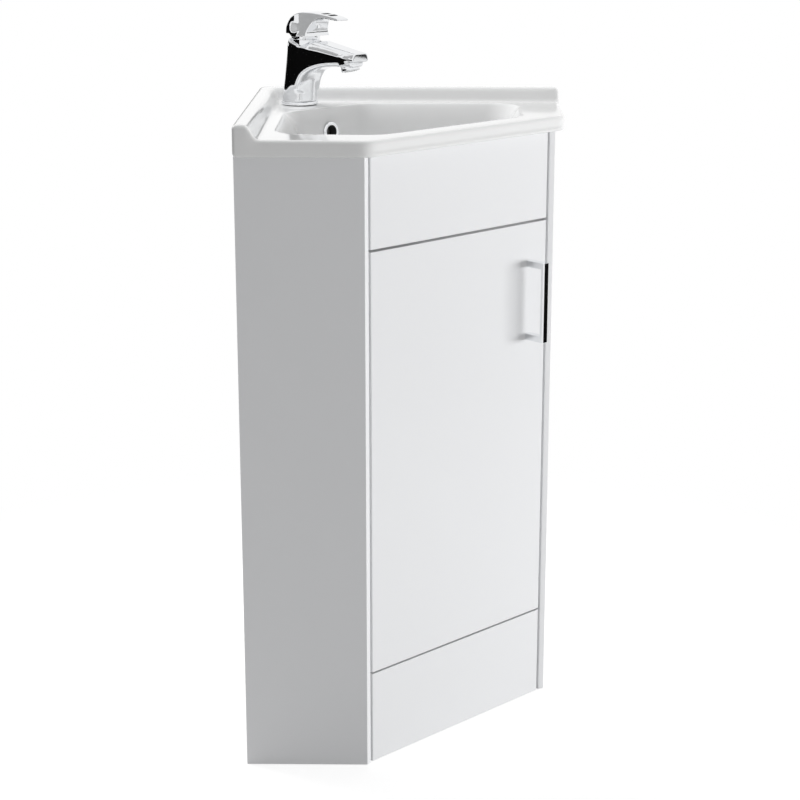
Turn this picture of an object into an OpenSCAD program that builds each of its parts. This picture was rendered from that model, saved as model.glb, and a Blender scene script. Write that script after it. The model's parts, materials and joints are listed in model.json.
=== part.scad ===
// Corner vanity unit: a five-sided cabinet with one hinged door, a ceramic corner
// basin, a single-lever mixer, and a basin waste with its bottle trap.
// The plan is symmetrical about x = 0. The door faces -Y, and the room corner that
// the unit fills lies at y = corner_y. Most pieces are drawn from that corner.

/* [Cabinet] */
// Height of the cabinet, from the floor to the underside of the basin
cab_h = 770; // [740:1:850]
// Length of the cabinet along each wall
wall_run = 388; // [375:1:410]
// Depth of each side panel, from the wall to its front edge
side_depth = 152; // [145:1:165]
// Thickness of the side panels and inner boards
board_t = 15; // [14:0.5:16]
// Thickness of the door, the fascia and the plinth
front_t = 16; // [15:0.5:18]
// Height of the plinth panel
plinth_h = 119; // [100:1:130]
// Height of the door
door_h = 534; // [500:1:550]
// How far the door and panels sit behind the line of the front edges
front_inset = 2.3; // [1:0.1:4]
// Width of each side panel's front edge that shows beside the door
edge_show = 8; // [7:0.5:10]
// Gap between the door's edge and the side panel
side_gap = 3; // [2.5:0.1:3.5]
// Gap between the plinth and the door
low_gap = 2.5; // [2:0.1:4]
// Gap between the door and the fascia
top_gap = 3; // [2:0.1:4]
// Height of the rails that stand against the walls
rail_h = 60; // [50:1:80]
// Side of the square post in the room corner
post_w = 32; // [28:1:38]

/* [Door fittings] */
// Distance between the handle's screw centres
handle_span = 96; // [80:1:128]
// How far the handle stands out from the door
handle_out = 30; // [25:1:36]
// Width of the handle's bar
handle_w = 10; // [8:0.5:12]
// Thickness of the handle's bar
handle_t = 5; // [4:0.5:7]
// Height of each handle leg
leg_h = 8; // [7:0.5:10]
// Distance from the handle's centre line to the door's edge
handle_in = 32; // [25:1:45]
// Distance from the handle's middle to the door's top
handle_down = 100; // [90:1:140]
// Diameter of the hinge cups
cup_d = 35; // [34:0.5:36]
// Distance from each hinge's centre to the end of the door
hinge_in = 90; // [70:1:120]

/* [Basin] */
// How far the basin stands out past each side panel
over_side = 12; // [8:0.5:16]
// How far the basin stands out past the front edges
over_front = 12.5; // [9:0.5:16]
// Height of the deck above the cabinet
deck_h = 21; // [19:0.5:24]
// Thickness of the deck
deck_t = 11; // [9:0.5:12]
// Height of the upstand above the deck
upstand_h = 17.5; // [15:0.5:22]
// Width of the upstand's top
upstand_w = 13; // [11:0.5:16]
// Thickness of the bowl's wall
wall_t = 8; // [7:0.5:9]
// Depth of the bowl below the deck
bowl_depth = 105; // [98:1:112]
// Distance of the bowl's front rim behind the basin's front
rim_front = 30; // [28:1:36]
// Distance of the bowl from each wall
rim_wall = 44; // [40:1:48]
// Distance of the bowl's back rim from the room corner
rim_back = 132; // [126:1:138]
// Distance of the bowl from each short side of the basin
rim_side = 55; // [50:1:60]
// Radius of the basin's front corners
front_r = 25; // [15:1:30]
// Depth of the overflow's centre below the deck
overflow_down = 31; // [28:1:36]
// Radius of the overflow hole
overflow_r = 9; // [8:0.5:10]

/* [Mixer] */
// Distance of the mixer's centre from the room corner
tap_d = 80; // [78:0.5:84]
// Radius of the deck hole for the mixer
tap_hole_r = 17.5; // [16.5:0.5:18]
// Radius of the mixer's base ring
tap_base_r = 24; // [23:0.5:26]
// Height of the mixer's body above the deck
tap_body_h = 86; // [80:1:90]
// How far the top of the body leans forward
tap_lean = 14; // [11:0.5:17]
// Radius of the body at its top
tap_top_r = 22.5; // [22:0.5:24]
// Reach from the mixer's centre to the middle of the outlet
tap_reach = 98; // [90:1:110]
// Height of the outlet's middle above the deck
tap_out_h = 58; // [54:1:62]
// Radius of the ceramic-disc cartridge
cartridge_r = 17.5; // [16.5:0.25:18]
// Length of the lever's blade from the cartridge's axis
lever_len = 74; // [60:1:90]

/* [Waste and trap] */
// Distance of the waste behind the basin's front
waste_in = 141.5; // [139:0.5:144]
// Outside radius of the waste's threaded tail
tail_r = 20.9; // [19:0.1:22]
// Radius of the waste's flange
flange_r = 31.5; // [30:0.5:33]
// Travel of the plug
plug_travel = 7; // [5:0.5:9]
// Radius of the bottle of the trap
bottle_r = 30; // [28:0.5:34]
// Outside radius of the waste pipe that the trap takes
pipe_r = 16; // [15:0.5:17]

/* [Hidden] */

$fn = 64;
root2 = sqrt(2);
slack = 0.05;   // radial clearance of a pin in its eye
seat = 0.1;     // gap between pieces that are screwed or pressed together
hull_fn = 32;   // facets round each disc of a blended form
skin = 0.02;    // thickness of a disc inside a blended form

// Plan, measured from the room corner: distances to the front are positive here
arris_d = (wall_run + side_depth) / root2;
arris_x = (wall_run - side_depth) / root2;
face_d = arris_d - front_inset;
back_d = face_d - front_t;
door_half = arris_x - edge_show - side_gap;
return_x = door_half + side_gap;
inner_run = wall_run - board_t;
inner_sum = inner_run * root2;

// Heights
door_z = plinth_h + low_gap;
fascia_z = door_z + door_h + top_gap;
fascia_h = cab_h - fascia_z;
stop_lap = 8;
buffer_t = 1.5;
base_front_d = back_d - buffer_t - 0.3;
base_z = door_z + stop_lap - board_t;
deck_z = cab_h + deck_h;

// Basin plan
basin_leg = wall_run + over_side;
basin_front_d = arris_d + over_front;
waste_d = basin_front_d - waste_in;
corner_r = 18;
end_r = 4;

// The unit's box is centred on the origin
corner_y = (corner_r * (root2 - 1) + face_d + handle_out) / 2;

// ---- helpers -------------------------------------------------------------

// A point a along the right wall and b out from it
function on_wall(a, b) = [(a - b) / root2, -(a + b) / root2];

// Points of an arc from angle a0 to a1, in steps
function arc(c, r, a0, a1, n = 6) =
    [for (i = [0:n]) [c[0] + r * cos(a0 + (a1 - a0) * i / n), c[1] + r * sin(a0 + (a1 - a0) * i / n)]];

module from_corner() translate([0, corner_y, 0]) children();

// Along the right wall: x runs along it and -y comes out of it
module right_wall() rotate([0, 0, -45]) children();

module both_sides() {
    children();
    mirror([1, 0, 0]) children();
}

// A board of plan outline pts, from z to z + h
module board(pts, z, h) translate([0, 0, z]) linear_extrude(h) polygon(pts);

module tube(r_out, r_in, h) difference() {
    cylinder(r = r_out, h = h);
    translate([0, 0, -1]) cylinder(r = r_in, h = h + 2);
}

// ---- cabinet -------------------------------------------------------------

white = [0.95, 0.95, 0.96];
grey_board = [0.86, 0.86, 0.85];
timber = [0.78, 0.66, 0.48];
zinc = [0.72, 0.73, 0.75];
chrome = [0.82, 0.83, 0.85];
china = [0.97, 0.97, 0.97];
rubber = [0.12, 0.12, 0.12];
plastic = [0.93, 0.93, 0.92];

dowel_r = 4;
dowel_len = 28;
dowel_in = 18;                 // depth of a dowel in the base panel
dowel_at = [30, 110];          // dowel centres, measured from the wall
plate_s = 42;                  // hinge plate's middle, from the panel's front return
plate_screw_gap = 32;
plate_screw_r = 2.5;
upper_hinge_z = door_z + door_h - hinge_in;
lower_hinge_z = door_z + hinge_in;
hinge_zs = [lower_hinge_z, upper_hinge_z];

// Plan of the right side panel. Its front edge is bevelled to end level with the
// door's face, and its inner corner is cut back square to give an even gap.
side_pts = [on_wall(wall_run, 0), on_wall(wall_run, side_depth), [return_x, -face_d],
    [return_x, return_x - inner_sum], on_wall(inner_run, 0)];

// A frame on the right panel's inner face: x away from the door, z off the face
module on_panel(s, z) translate([return_x, return_x - inner_sum, z]) rotate([0, 0, 45])
    translate([s, 0, 0]) rotate([-90, 0, 0]) children();

module side_panel(hinged) {
    difference() {
        board(side_pts, 0, cab_h);
        for (b = dowel_at) right_wall()
            translate([inner_run - 1, -b, base_z + board_t / 2]) rotate([0, 90, 0])
                cylinder(r = dowel_r + seat / 2, h = dowel_len - dowel_in + 1.5);
        if (hinged) for (hz = hinge_zs, k = [-1, 1])
            on_panel(plate_s, hz + k * plate_screw_gap / 2) translate([0, 0, -12])
                cylinder(r = plate_screw_r + seat / 2, h = 13);
    }
}

module left_side_panel() color(white) from_corner() mirror([1, 0, 0]) side_panel(true);

module right_side_panel() color(white) from_corner() side_panel(false);

// The base fits inside the panels, and is cut away round the post
module base_panel() color(grey_board) from_corner() {
    half = [[inner_sum - base_front_d - 2 * seat, -base_front_d], on_wall(inner_run - seat, 1),
        on_wall(post_w + 2, 1), on_wall(post_w + 2, post_w + 2)];
    difference() {
        board(concat(half, [for (i = [len(half) - 2:-1:0]) [-half[i][0], half[i][1]]]), base_z, board_t);
        both_sides() for (b = dowel_at) right_wall()
            translate([inner_run - dowel_in, -b, base_z + board_t / 2]) rotate([0, 90, 0])
                cylinder(r = dowel_r + seat / 2, h = dowel_in + 2);
    }
}

module base_dowels() color(timber) from_corner() both_sides() for (b = dowel_at)
    right_wall() translate([inner_run - dowel_in + 0.5, -b, base_z + board_t / 2])
        rotate([0, 90, 0]) cylinder(r = dowel_r, h = dowel_len - 1);

// A front panel between the side panels, with its face edges eased
module front_board(z, h) {
    ease = 1;
    pts = [[door_half, -back_d], [door_half, -face_d + ease], [door_half - ease, -face_d],
        [-door_half + ease, -face_d], [-door_half, -face_d + ease], [-door_half, -back_d]];
    board(pts, z, h);
}

module plinth_panel() color(white) from_corner() front_board(0, plinth_h);

module fascia_panel() color(white) from_corner() front_board(fascia_z, fascia_h);

// The post is set into the room corner, square to the walls
post_cut = 11;
module corner_post() color(timber) from_corner()
    board([on_wall(post_cut, 1), on_wall(post_w, 1), on_wall(post_w, post_w), on_wall(1, post_w),
        on_wall(1, post_cut)], 0, cab_h);

rail_screw_r = 2.75;
rail_screw_at = [90, inner_run - 13]; // screw holes, measured from the room corner

module wall_rail(z, screwed) right_wall() difference() {
    translate([post_w + seat, -board_t - 1, z])
        cube([inner_run - post_w - 2 * seat, board_t, rail_h]);
    // The holes sit low in the rail, where the bowl leaves room for the screws
    if (screwed) for (x = rail_screw_at) translate([x, 1, z + rail_h / 3]) rotate([90, 0, 0])
        cylinder(r = rail_screw_r, h = board_t + 4);
}

module right_top_rail() color(timber) from_corner() wall_rail(cab_h - rail_h, true);

module left_top_rail() color(timber) from_corner() mirror([1, 0, 0]) wall_rail(cab_h - rail_h, true);

module right_low_rail() color(timber) from_corner() wall_rail(base_z - rail_h - seat, false);

module left_low_rail() color(timber) from_corner() mirror([1, 0, 0])
    wall_rail(base_z - rail_h - seat, false);

// Glue blocks behind a front panel, cut to the angle between panel and side
block_in = 34;
block_deep = 22;
module corner_block(z, h) {
    y0 = -back_d + seat;
    x0 = inner_sum - back_d - 2 * seat;
    difference() {
        board([[return_x - block_in, y0], [x0, y0], [x0 + block_deep / 2, y0 + block_deep / 2],
            [return_x - block_in + 6, y0 + block_deep / 2],
            [return_x - block_in, y0 + block_deep / 4]], z, h);
        translate([return_x - block_in + 14, y0 - 1, z + h / 2]) rotate([-90, 0, 0])
            cylinder(r = block_screw_r + seat, h = block_deep);
    }
}

block_screw_r = 2;
block_end = 14;                // from a block's end to its panel's end
fascia_block_h = fascia_h - 2 * block_end;
fascia_block_z = fascia_z + block_end;
plinth_block_h = 70;
plinth_block_z = 12;

module fascia_blocks() color(timber) from_corner() both_sides()
    corner_block(fascia_block_z, fascia_block_h);

module plinth_blocks() color(timber) from_corner() both_sides()
    corner_block(plinth_block_z, plinth_block_h);

module block_screws() color(zinc) from_corner() both_sides()
    for (z = [fascia_block_z + fascia_block_h / 2, plinth_block_z + plinth_block_h / 2])
        translate([return_x - block_in + 14, -back_d + seat / 2, z]) rotate([-90, 0, 0]) {
            cylinder(r = block_screw_r, h = block_deep / 2 + seat);
            translate([0, 0, block_deep / 2 + seat]) cylinder(r1 = 4, r2 = 3, h = 2);
        }

// ---- door ----------------------------------------------------------------

cup_r = cup_d / 2;
cup_edge = 5;                  // wood left between cup and door edge
cup_x = cup_edge + cup_r;      // cup centre from the door's hinge edge
cup_bore = 12.5;               // depth of the bore in the door
cup_in = 12.2;                 // depth of the cup
cup_wall = 1.2;
cup_floor = 0.9;
cup_screw_gap = 45;
cup_screw_x = 9.5;             // screw line past the cup's centre
cup_screw_r = 1.8;
handle_screw_r = 2;
handle_x = door_half - handle_in;
handle_z = door_z + door_h - handle_down;

// Frame of a hinge: x from the door's hinge edge, y from its face into the cabinet
module at_hinge(z) translate([-door_half, -face_d, z]) children();

// Bore along +Y with its mouth on the door's back
module from_back(x, z, r, depth) translate([x, front_t + 1, z]) rotate([90, 0, 0])
    cylinder(r = r, h = depth + 1);

module door_panel() color(white) from_corner() difference() {
    front_board(door_z, door_h);
    for (hz = hinge_zs) at_hinge(hz) {
        from_back(cup_x, 0, cup_r + seat, cup_bore);
        for (k = [-1, 1])
            from_back(cup_x + cup_screw_x, k * cup_screw_gap / 2, cup_screw_r + slack, 11);
    }
    for (k = [-1, 1]) translate([handle_x, -back_d + 1, handle_z + k * handle_span / 2])
        rotate([90, 0, 0]) cylinder(r = handle_screw_r + 0.25, h = front_t + 2);
}

module door_handle() color(chrome) from_corner() {
    ease = 1.2;
    half = handle_w / 2;
    translate([handle_x, -face_d, handle_z]) difference() {
        union() {
            translate([0, -handle_out, -handle_span / 2 - leg_h / 2]) linear_extrude(handle_span + leg_h)
                polygon([[-half + ease, 0], [half - ease, 0], [half, ease], [half, handle_t],
                    [-half, handle_t], [-half, ease]]);
            for (k = [-1, 1]) translate([-half, -handle_out + handle_t - 1, k * handle_span / 2 - leg_h / 2])
                cube([handle_w, handle_out - handle_t + 1, leg_h]);
        }
        for (k = [-1, 1]) translate([0, 1, k * handle_span / 2]) rotate([90, 0, 0])
            cylinder(r = handle_screw_r + slack, h = 13);
    }
}

module handle_screws() color(zinc) from_corner()
    for (k = [-1, 1]) translate([handle_x, -back_d + seat, handle_z + k * handle_span / 2])
        rotate([90, 0, 0]) {
            cylinder(r = handle_screw_r, h = front_t + 10);
            translate([0, 0, -2.4]) cylinder(r1 = 3, r2 = 4, h = 2.4);
        }

buffer_x = door_half - 20;
module door_buffers() color([0.9, 0.92, 0.93]) from_corner() both_sides()
    translate([buffer_x, -back_d, door_z + stop_lap / 2 + 0.2]) rotate([-90, 0, 0])
        cylinder(r1 = 3.6, r2 = 3, h = buffer_t);

// ---- hinges --------------------------------------------------------------

// Pin places of the four-bar linkage, in the frame of at_hinge, door closed
arm_pin_1 = [44, 19.5];
arm_pin_2 = [48, 26];
cup_pin_1 = [10.8, 7.8];
cup_pin_2 = [12.5, 14];
inner_bends = [[20.7, 6], [33, 18.6]];
outer_bend = [39.6, 25.8];
outer_end = [18, 16.4];        // the open pivot: the leg stops short of its pin
pin_r = 1.25;
eye_r = 2.4;
inner_t = 1.8;                 // thickness of the inner link's plate
outer_w = 2.2;                 // width of the outer link's legs
link_half = 6;                 // half width of the inner link
leg_0 = 6.4;                   // the outer link's legs lie outside the inner link
leg_1 = 7.7;
arm_0 = 8;                     // and the arm's walls outside those legs
arm_1 = 9.4;
plate_half = 17;               // half length of the mounting plate
plate_h = 6;
wing_t = 2.5;
arm_top = 14;

// A point on the left panel's inner face in the frame of at_hinge: s away from the
// door's edge along the face, h off the face
function panel_pt(s, h) =
    [(h - s) / root2 - side_gap, (h + s) / root2 + face_d + return_x - inner_sum];

// A flat bar of width w that follows the points pts
module strip(pts, w) {
    for (i = [0:len(pts) - 2]) {
        d = pts[i + 1] - pts[i];
        translate(pts[i]) rotate(atan2(d[1], d[0])) translate([0, -w / 2]) square([norm(d), w]);
    }
    for (p = pts) translate(p) circle(d = w);
}

// A solid of plan children between heights z0 and z1
module layer(z0, z1) translate([0, 0, z0]) linear_extrude(z1 - z0) children();

module both_faces() {
    children();
    mirror([0, 0, 1]) children();
}

module hinge_plate(z) at_hinge(z) difference() {
    union() {
        layer(-arm_0 + seat, arm_0 - seat) polygon([panel_pt(plate_s - plate_half, 0),
            panel_pt(plate_s + plate_half, 0), panel_pt(plate_s + plate_half, plate_h),
            panel_pt(plate_s - plate_half, plate_h)]);
        layer(-plate_screw_gap / 2 - 6, plate_screw_gap / 2 + 6) polygon([panel_pt(plate_s - 7, 0),
            panel_pt(plate_s + 7, 0), panel_pt(plate_s + 7, wing_t), panel_pt(plate_s - 7, wing_t)]);
    }
    for (k = [-1, 1]) plate_screw_axis(k) translate([0, 0, -1])
        cylinder(r = plate_screw_r + slack, h = wing_t + 2);
    arm_screw_axis() translate([0, 0, 1]) cylinder(r = arm_screw_r + slack, h = plate_h);
}

// Axes square to the panel, in the frame of at_hinge
module off_panel(s) translate([panel_pt(s, 0)[0], panel_pt(s, 0)[1], 0]) rotate([0, 0, -45])
    rotate([-90, 0, 0]) children();

arm_screw_r = 2;
arm_screw_s = plate_s + 8;
module plate_screw_axis(k) translate([0, 0, k * plate_screw_gap / 2]) off_panel(plate_s) children();
module arm_screw_axis() off_panel(arm_screw_s) children();

module upper_hinge_plate() color(zinc) from_corner() hinge_plate(upper_hinge_z);

module lower_hinge_plate() color(zinc) from_corner() hinge_plate(lower_hinge_z);

module hinge_plate_screws() color(zinc) from_corner() for (z = hinge_zs, k = [-1, 1])
    at_hinge(z) plate_screw_axis(k) {
        translate([0, 0, -11]) cylinder(r = plate_screw_r, h = 11 + wing_t + seat);
        translate([0, 0, wing_t + seat]) cylinder(r1 = 4, r2 = 3, h = 1.6);
    }

arm_rear = plate_s + plate_half + 3;
arm_crown = [panel_pt(arm_rear, arm_top), panel_pt(28, arm_top), [44.5, 32.5], [51, 30], [52.5, 25]];
arm_under = [[51.8, 21.5], [47, 17.3], [42.6, 17.5], [38, 18.8], [8, 22.5], panel_pt(22, 3),
    panel_pt(arm_rear, 3)];

module hinge_arm(z) at_hinge(z) difference() {
    union() {
        both_faces() layer(arm_0, arm_1) polygon(concat(arm_crown, arm_under));
        layer(-arm_0, arm_0) polygon(concat(arm_crown,
            [for (i = [len(arm_crown) - 1:-1:0]) arm_crown[i] - [0.7, 1.3]]));
    }
    for (p = [arm_pin_1, arm_pin_2]) translate([p[0], p[1], -arm_1 - 1])
        cylinder(r = pin_r + slack / 2, h = 2 * arm_1 + 2, $fn = 32);
    arm_screw_axis() cylinder(r = arm_screw_r + slack, h = 2 * arm_top);
}

module upper_hinge_arm() color(zinc) from_corner() hinge_arm(upper_hinge_z);

module lower_hinge_arm() color(zinc) from_corner() hinge_arm(lower_hinge_z);

module hinge_arm_screws() color(zinc) from_corner() for (z = hinge_zs) at_hinge(z)
    arm_screw_axis() {
        translate([0, 0, 2]) cylinder(r = arm_screw_r, h = arm_top - 2 + seat);
        translate([0, 0, arm_top + seat]) cylinder(r = 3.6, h = 1.8);
    }

module hinge_arm_pins() color(zinc) from_corner() for (z = hinge_zs) at_hinge(z)
    for (p = [arm_pin_1, arm_pin_2]) translate([p[0], p[1], -arm_1])
        cylinder(r = pin_r, h = 2 * arm_1, $fn = 32);

module pin_eye(p) translate(p) circle(r = pin_r + slack, $fn = 32);

module inner_links() color(zinc) from_corner() for (z = hinge_zs) at_hinge(z)
    layer(-link_half, link_half) difference() {
        union() {
            strip(concat([cup_pin_1], inner_bends, [arm_pin_1]), inner_t);
            for (p = [cup_pin_1, arm_pin_1]) translate(p) circle(r = eye_r);
        }
        pin_eye(cup_pin_1);
        pin_eye(arm_pin_1);
    }

module outer_links() color(zinc) from_corner() for (z = hinge_zs) at_hinge(z) {
    both_faces() layer(leg_0, leg_1) difference() {
        union() {
            strip([outer_end, outer_bend, arm_pin_2], outer_w);
            translate(arm_pin_2) circle(r = eye_r);
        }
        pin_eye(arm_pin_2);
    }
    layer(-leg_0, leg_0) difference() {
        translate(arm_pin_2) circle(r = eye_r);
        pin_eye(arm_pin_2);
    }
}

module hinge_cup(z) at_hinge(z) difference() {
    union() {
        translate([cup_x, front_t, 0]) rotate([90, 0, 0]) cylinder(r = cup_r, h = cup_in);
        translate([cup_x, front_t + 1, 0]) rotate([90, 0, 0]) cylinder(r = cup_r + 2, h = 1 - slack);
        translate([cup_x + cup_screw_x - 6, front_t + slack, -cup_screw_gap / 2 - 5])
            cube([12, 1 - slack, cup_screw_gap + 10]);
    }
    translate([cup_x, front_t + 2, 0]) rotate([90, 0, 0])
        cylinder(r = cup_r - cup_wall, h = cup_in - cup_floor + 2);
    for (p = [cup_pin_1, cup_pin_2]) translate([p[0], p[1], -cup_r])
        cylinder(r = pin_r + slack / 2, h = cup_d, $fn = 32);
    for (k = [-1, 1]) from_back(cup_x + cup_screw_x, k * cup_screw_gap / 2, cup_screw_r + slack, 3);
}

module upper_hinge_cup() color(zinc) from_corner() hinge_cup(upper_hinge_z);

module lower_hinge_cup() color(zinc) from_corner() hinge_cup(lower_hinge_z);

// The second pin is two stubs, which leave room for the inner link between them
module hinge_cup_pins() color(zinc) from_corner() for (z = hinge_zs) at_hinge(z) {
    translate([cup_pin_1[0], cup_pin_1[1], -12.2]) cylinder(r = pin_r, h = 24.4, $fn = 32);
    both_faces() translate([cup_pin_2[0], cup_pin_2[1], leg_0])
        cylinder(r = pin_r, h = 13.6 - leg_0, $fn = 32);
}

module hinge_cup_screws() color(zinc) from_corner() for (z = hinge_zs, k = [-1, 1]) at_hinge(z)
    translate([cup_x + cup_screw_x, front_t + 1 + slack, k * cup_screw_gap / 2]) rotate([90, 0, 0]) {
        cylinder(r = cup_screw_r, h = 11);
        translate([0, 0, -1.2]) cylinder(r1 = 2.4, r2 = 3.2, h = 1.2);
    }

// ---- basin ---------------------------------------------------------------

// Disc of radius r, its middle at point p and its top at height z
module disc(p, z, r) translate([p[0], p[1], z - skin]) cylinder(r = r, h = skin, $fn = hull_fn);

// Discs at the corners of the basin's outline, drawn in by i
module outline_discs(z, i) {
    disc([0, -(corner_r + i) * root2], z, corner_r);
    both_sides() {
        disc(on_wall(basin_leg - end_r - i, end_r + i), z, end_r);
        disc([(basin_leg - front_r - i) * root2 - (basin_front_d - front_r - i),
            -(basin_front_d - front_r - i)], z, front_r);
    }
}

back_share = 0.5;              // the bowl's back wall is steeper than the others
rim_radii = [45, 38, 60];      // at the back, at the tips and at the front
least_radius = 18;

// Discs at the corners of the bowl's outline at one level, drawn in by i
module bowl_discs(z, i) {
    r = [for (rr = rim_radii) max(least_radius, rr - i / 2)];
    back = rim_back + back_share * i + r[0];
    front = basin_front_d - rim_front - i - r[2];
    side = basin_leg - rim_side - i;
    both_sides() {
        disc([back - (rim_wall + i + r[0]) * root2, -back], z, r[0]);
        disc(on_wall(side - r[1], rim_wall + i + r[1]), z, r[1]);
        disc([(side - r[2]) * root2 - front, -front], z, r[2]);
    }
}

// Depth below the deck and inset of each level of the bowl's inside
bowl_levels = [[0, 12.5], [21, 15.5], [60, 22], [bowl_depth - 20, 30], [bowl_depth - 7, 46],
    [bowl_depth, 70]];
rim_levels = [[0, 0], [4, 6.5], [16, 14.8]];
floor_t = 10;
boss_r = 36;
boss_h = 38;
waste_hole_r = 22.5;
bowl_z = deck_z - bowl_depth;
boss_z = bowl_z - boss_h;
channel_w = 24;
channel_t = 9;
channel_wall = 6;
upstand_foot_r = 8;
upstand_top_r = 6;

module slab() hull() for (l = [[0.02, 3], [2, 0.8], [5, 0], [14, 0], [18, 1.5], [deck_h, 5]])
    outline_discs(cab_h + l[0], l[1]);

// The hollow under the deck leaves a rim that stands on the cabinet
module slab_hollow() hull() {
    outline_discs(cab_h - 1, over_side + board_t - 3);
    outline_discs(deck_z - deck_t, over_side + board_t);
}

// Section of the upstand: x from the wall, y up from the deck
function upstand_pts() = let (t = 33, n = [cos(t), sin(t)], drop = upstand_h - upstand_top_r
        + upstand_top_r * n[1] - upstand_foot_r * (1 - n[1]),
        top = [upstand_w + upstand_top_r * n[0], 0], foot_x = top[0] + drop * n[1] / n[0]
        + upstand_foot_r * n[0])
    concat([[1, -12], [0, -4]], arc([3, upstand_h - 3], 3, 180, 90, 4),
        arc([upstand_w, upstand_h - upstand_top_r], upstand_top_r, 90, t, 4),
        arc([foot_x, upstand_foot_r], upstand_foot_r, 180 + t, 270, 4), [[foot_x, -12]]);

module upstand() intersection() {
    both_sides() right_wall() translate([-1, 0, deck_z]) rotate([90, 0, 90])
        linear_extrude(basin_leg + 2) mirror([1, 0]) polygon(upstand_pts());
    hull() for (z = [cab_h + 6, deck_z + upstand_h - 4, deck_z + upstand_h + 1])
        outline_discs(z, z > deck_z + upstand_h - 2 ? 2 : 0);
}

// Back profile of the bowl at its middle: distance from the corner, and height
function bowl_back(k) = [rim_back + back_share * bowl_levels[k][1], deck_z - bowl_levels[k][0]];

// The overflow's way down the back of the bowl to the waste, t off the bowl's wall
function channel_line(t) = [bowl_back(1) + [-t, 0], bowl_back(2) + [-t, -t / 5],
    bowl_back(3) + [-t, -t / 3], bowl_back(4) + [-0.7 * t, -0.7 * t], bowl_back(5) + [-0.3 * t, -t],
    [waste_d, bowl_z - t]];

module channel(t0, t1, w, top) {
    line_0 = channel_line(t0);
    line_1 = channel_line(t1);
    head = deck_z - top;
    translate([-w / 2, 0, 0]) rotate([90, 0, 90]) linear_extrude(w) polygon([for (p =
        concat([[line_0[0][0], head]], line_0, [for (i = [5:-1:0]) line_1[i]], [[line_1[0][0], head]]))
        [-p[0], p[1]]]);
}

overflow_tilt = atan(back_share * (bowl_levels[2][1] - bowl_levels[1][1])
    / (bowl_levels[2][0] - bowl_levels[1][0]));
overflow_wall_d = rim_back + back_share * (bowl_levels[1][1] + (overflow_down - bowl_levels[1][0])
    * (bowl_levels[2][1] - bowl_levels[1][1]) / (bowl_levels[2][0] - bowl_levels[1][0]));

// Frame of the overflow: z runs out of the bowl's wall into the bowl
module at_overflow() translate([0, -overflow_wall_d, deck_z - overflow_down])
    rotate([90 - overflow_tilt, 0, 0]) children();

module at_waste(z) translate([0, -waste_d, z]) children();

module basin() color(china) from_corner() difference() {
    union() {
        difference() {
            slab();
            slab_hollow();
        }
        upstand();
        hull() for (l = bowl_levels)
            bowl_discs(deck_z - max(l[0] * (1 + floor_t / bowl_depth), deck_t / 2), l[1] - wall_t);
        channel(0, wall_t + channel_t + channel_wall, channel_w + 2 * channel_wall, deck_t - 1);
        at_waste(boss_z) cylinder(r = boss_r, h = boss_h);
    }
    hull() for (l = bowl_levels) bowl_discs(deck_z - l[0] + (l[0] == 0 ? 1 : 0), l[1]);
    for (k = [0, 1]) hull() {
        bowl_discs(deck_z - rim_levels[k][0] + (k == 0 ? skin : 0), rim_levels[k][1]);
        bowl_discs(deck_z - rim_levels[k + 1][0], rim_levels[k + 1][1]);
    }
    channel(wall_t, wall_t + channel_t, channel_w, overflow_down - overflow_r - 2);
    at_waste(boss_z - 1) cylinder(r = waste_hole_r, h = boss_h + 2);
    at_overflow() translate([0, 0, -wall_t - 3]) cylinder(r = overflow_r, h = wall_t + 5);
    translate([0, -tap_d, deck_z - deck_t - 8]) cylinder(r = tap_hole_r, h = deck_t + 10);
}

module overflow_ring() color(chrome) from_corner() at_overflow() difference() {
    union() {
        rotate_extrude() polygon(concat([[overflow_r - 1.2, 0.1], [12.2, 0.1]],
            arc([10.6, 0.9], 1.6, 0, 90, 4), [[overflow_r - 0.6, 2.2], [overflow_r - 1.2, 1.2]]));
        translate([0, 0, -wall_t + 1]) tube(overflow_r - seat, overflow_r - 1.2, wall_t - 0.8);
    }
}

// ---- mixer ---------------------------------------------------------------

ring_h = 5;
seal_h = 0.8;
collar_h = 7;
hood_r = tap_top_r;
hood_wall = 2.5;
spout_tip_r = 13;
outlet_tilt = 15;              // the outlet points a little forward
aerator_r = 12;
cartridge_h = 30;
stud_at = [0, 10];             // stud, from the mixer's centre; +y is to the corner
inlet_at = [9.5, -6];
inlet_r = 4.6;
inlet_len = 12;
way_r = 1.6;                   // the water's way from an inlet up to the cartridge
way_off = 2.9;                 // and how far it lies in front of the inlet's axis
port_at = [inlet_at[0], inlet_at[1] - way_off + tap_lean]; // from the cartridge's axis

// Frame of the mixer: x across, y to the room corner, z up from the deck
module at_tap(z = 0) translate([0, -tap_d, deck_z + z]) children();

module at_cartridge(z = 0) at_tap(z) translate([0, -tap_lean, 0]) children();

module tap_base_seal() color(rubber) from_corner() at_tap() tube(tap_base_r - 2, tap_hole_r + 1, seal_h);

module tap_base_ring() color(chrome) from_corner() at_tap(seal_h) difference() {
    rotate_extrude() polygon(concat([[0, 0], [tap_base_r, 0]],
        arc([tap_base_r - 2, ring_h - seal_h - 2], 2, 0, 90, 4), [[0, ring_h - seal_h]]));
    translate([0, 0, -1]) cylinder(r = tap_hole_r - 1, h = ring_h + 2);
}

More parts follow.
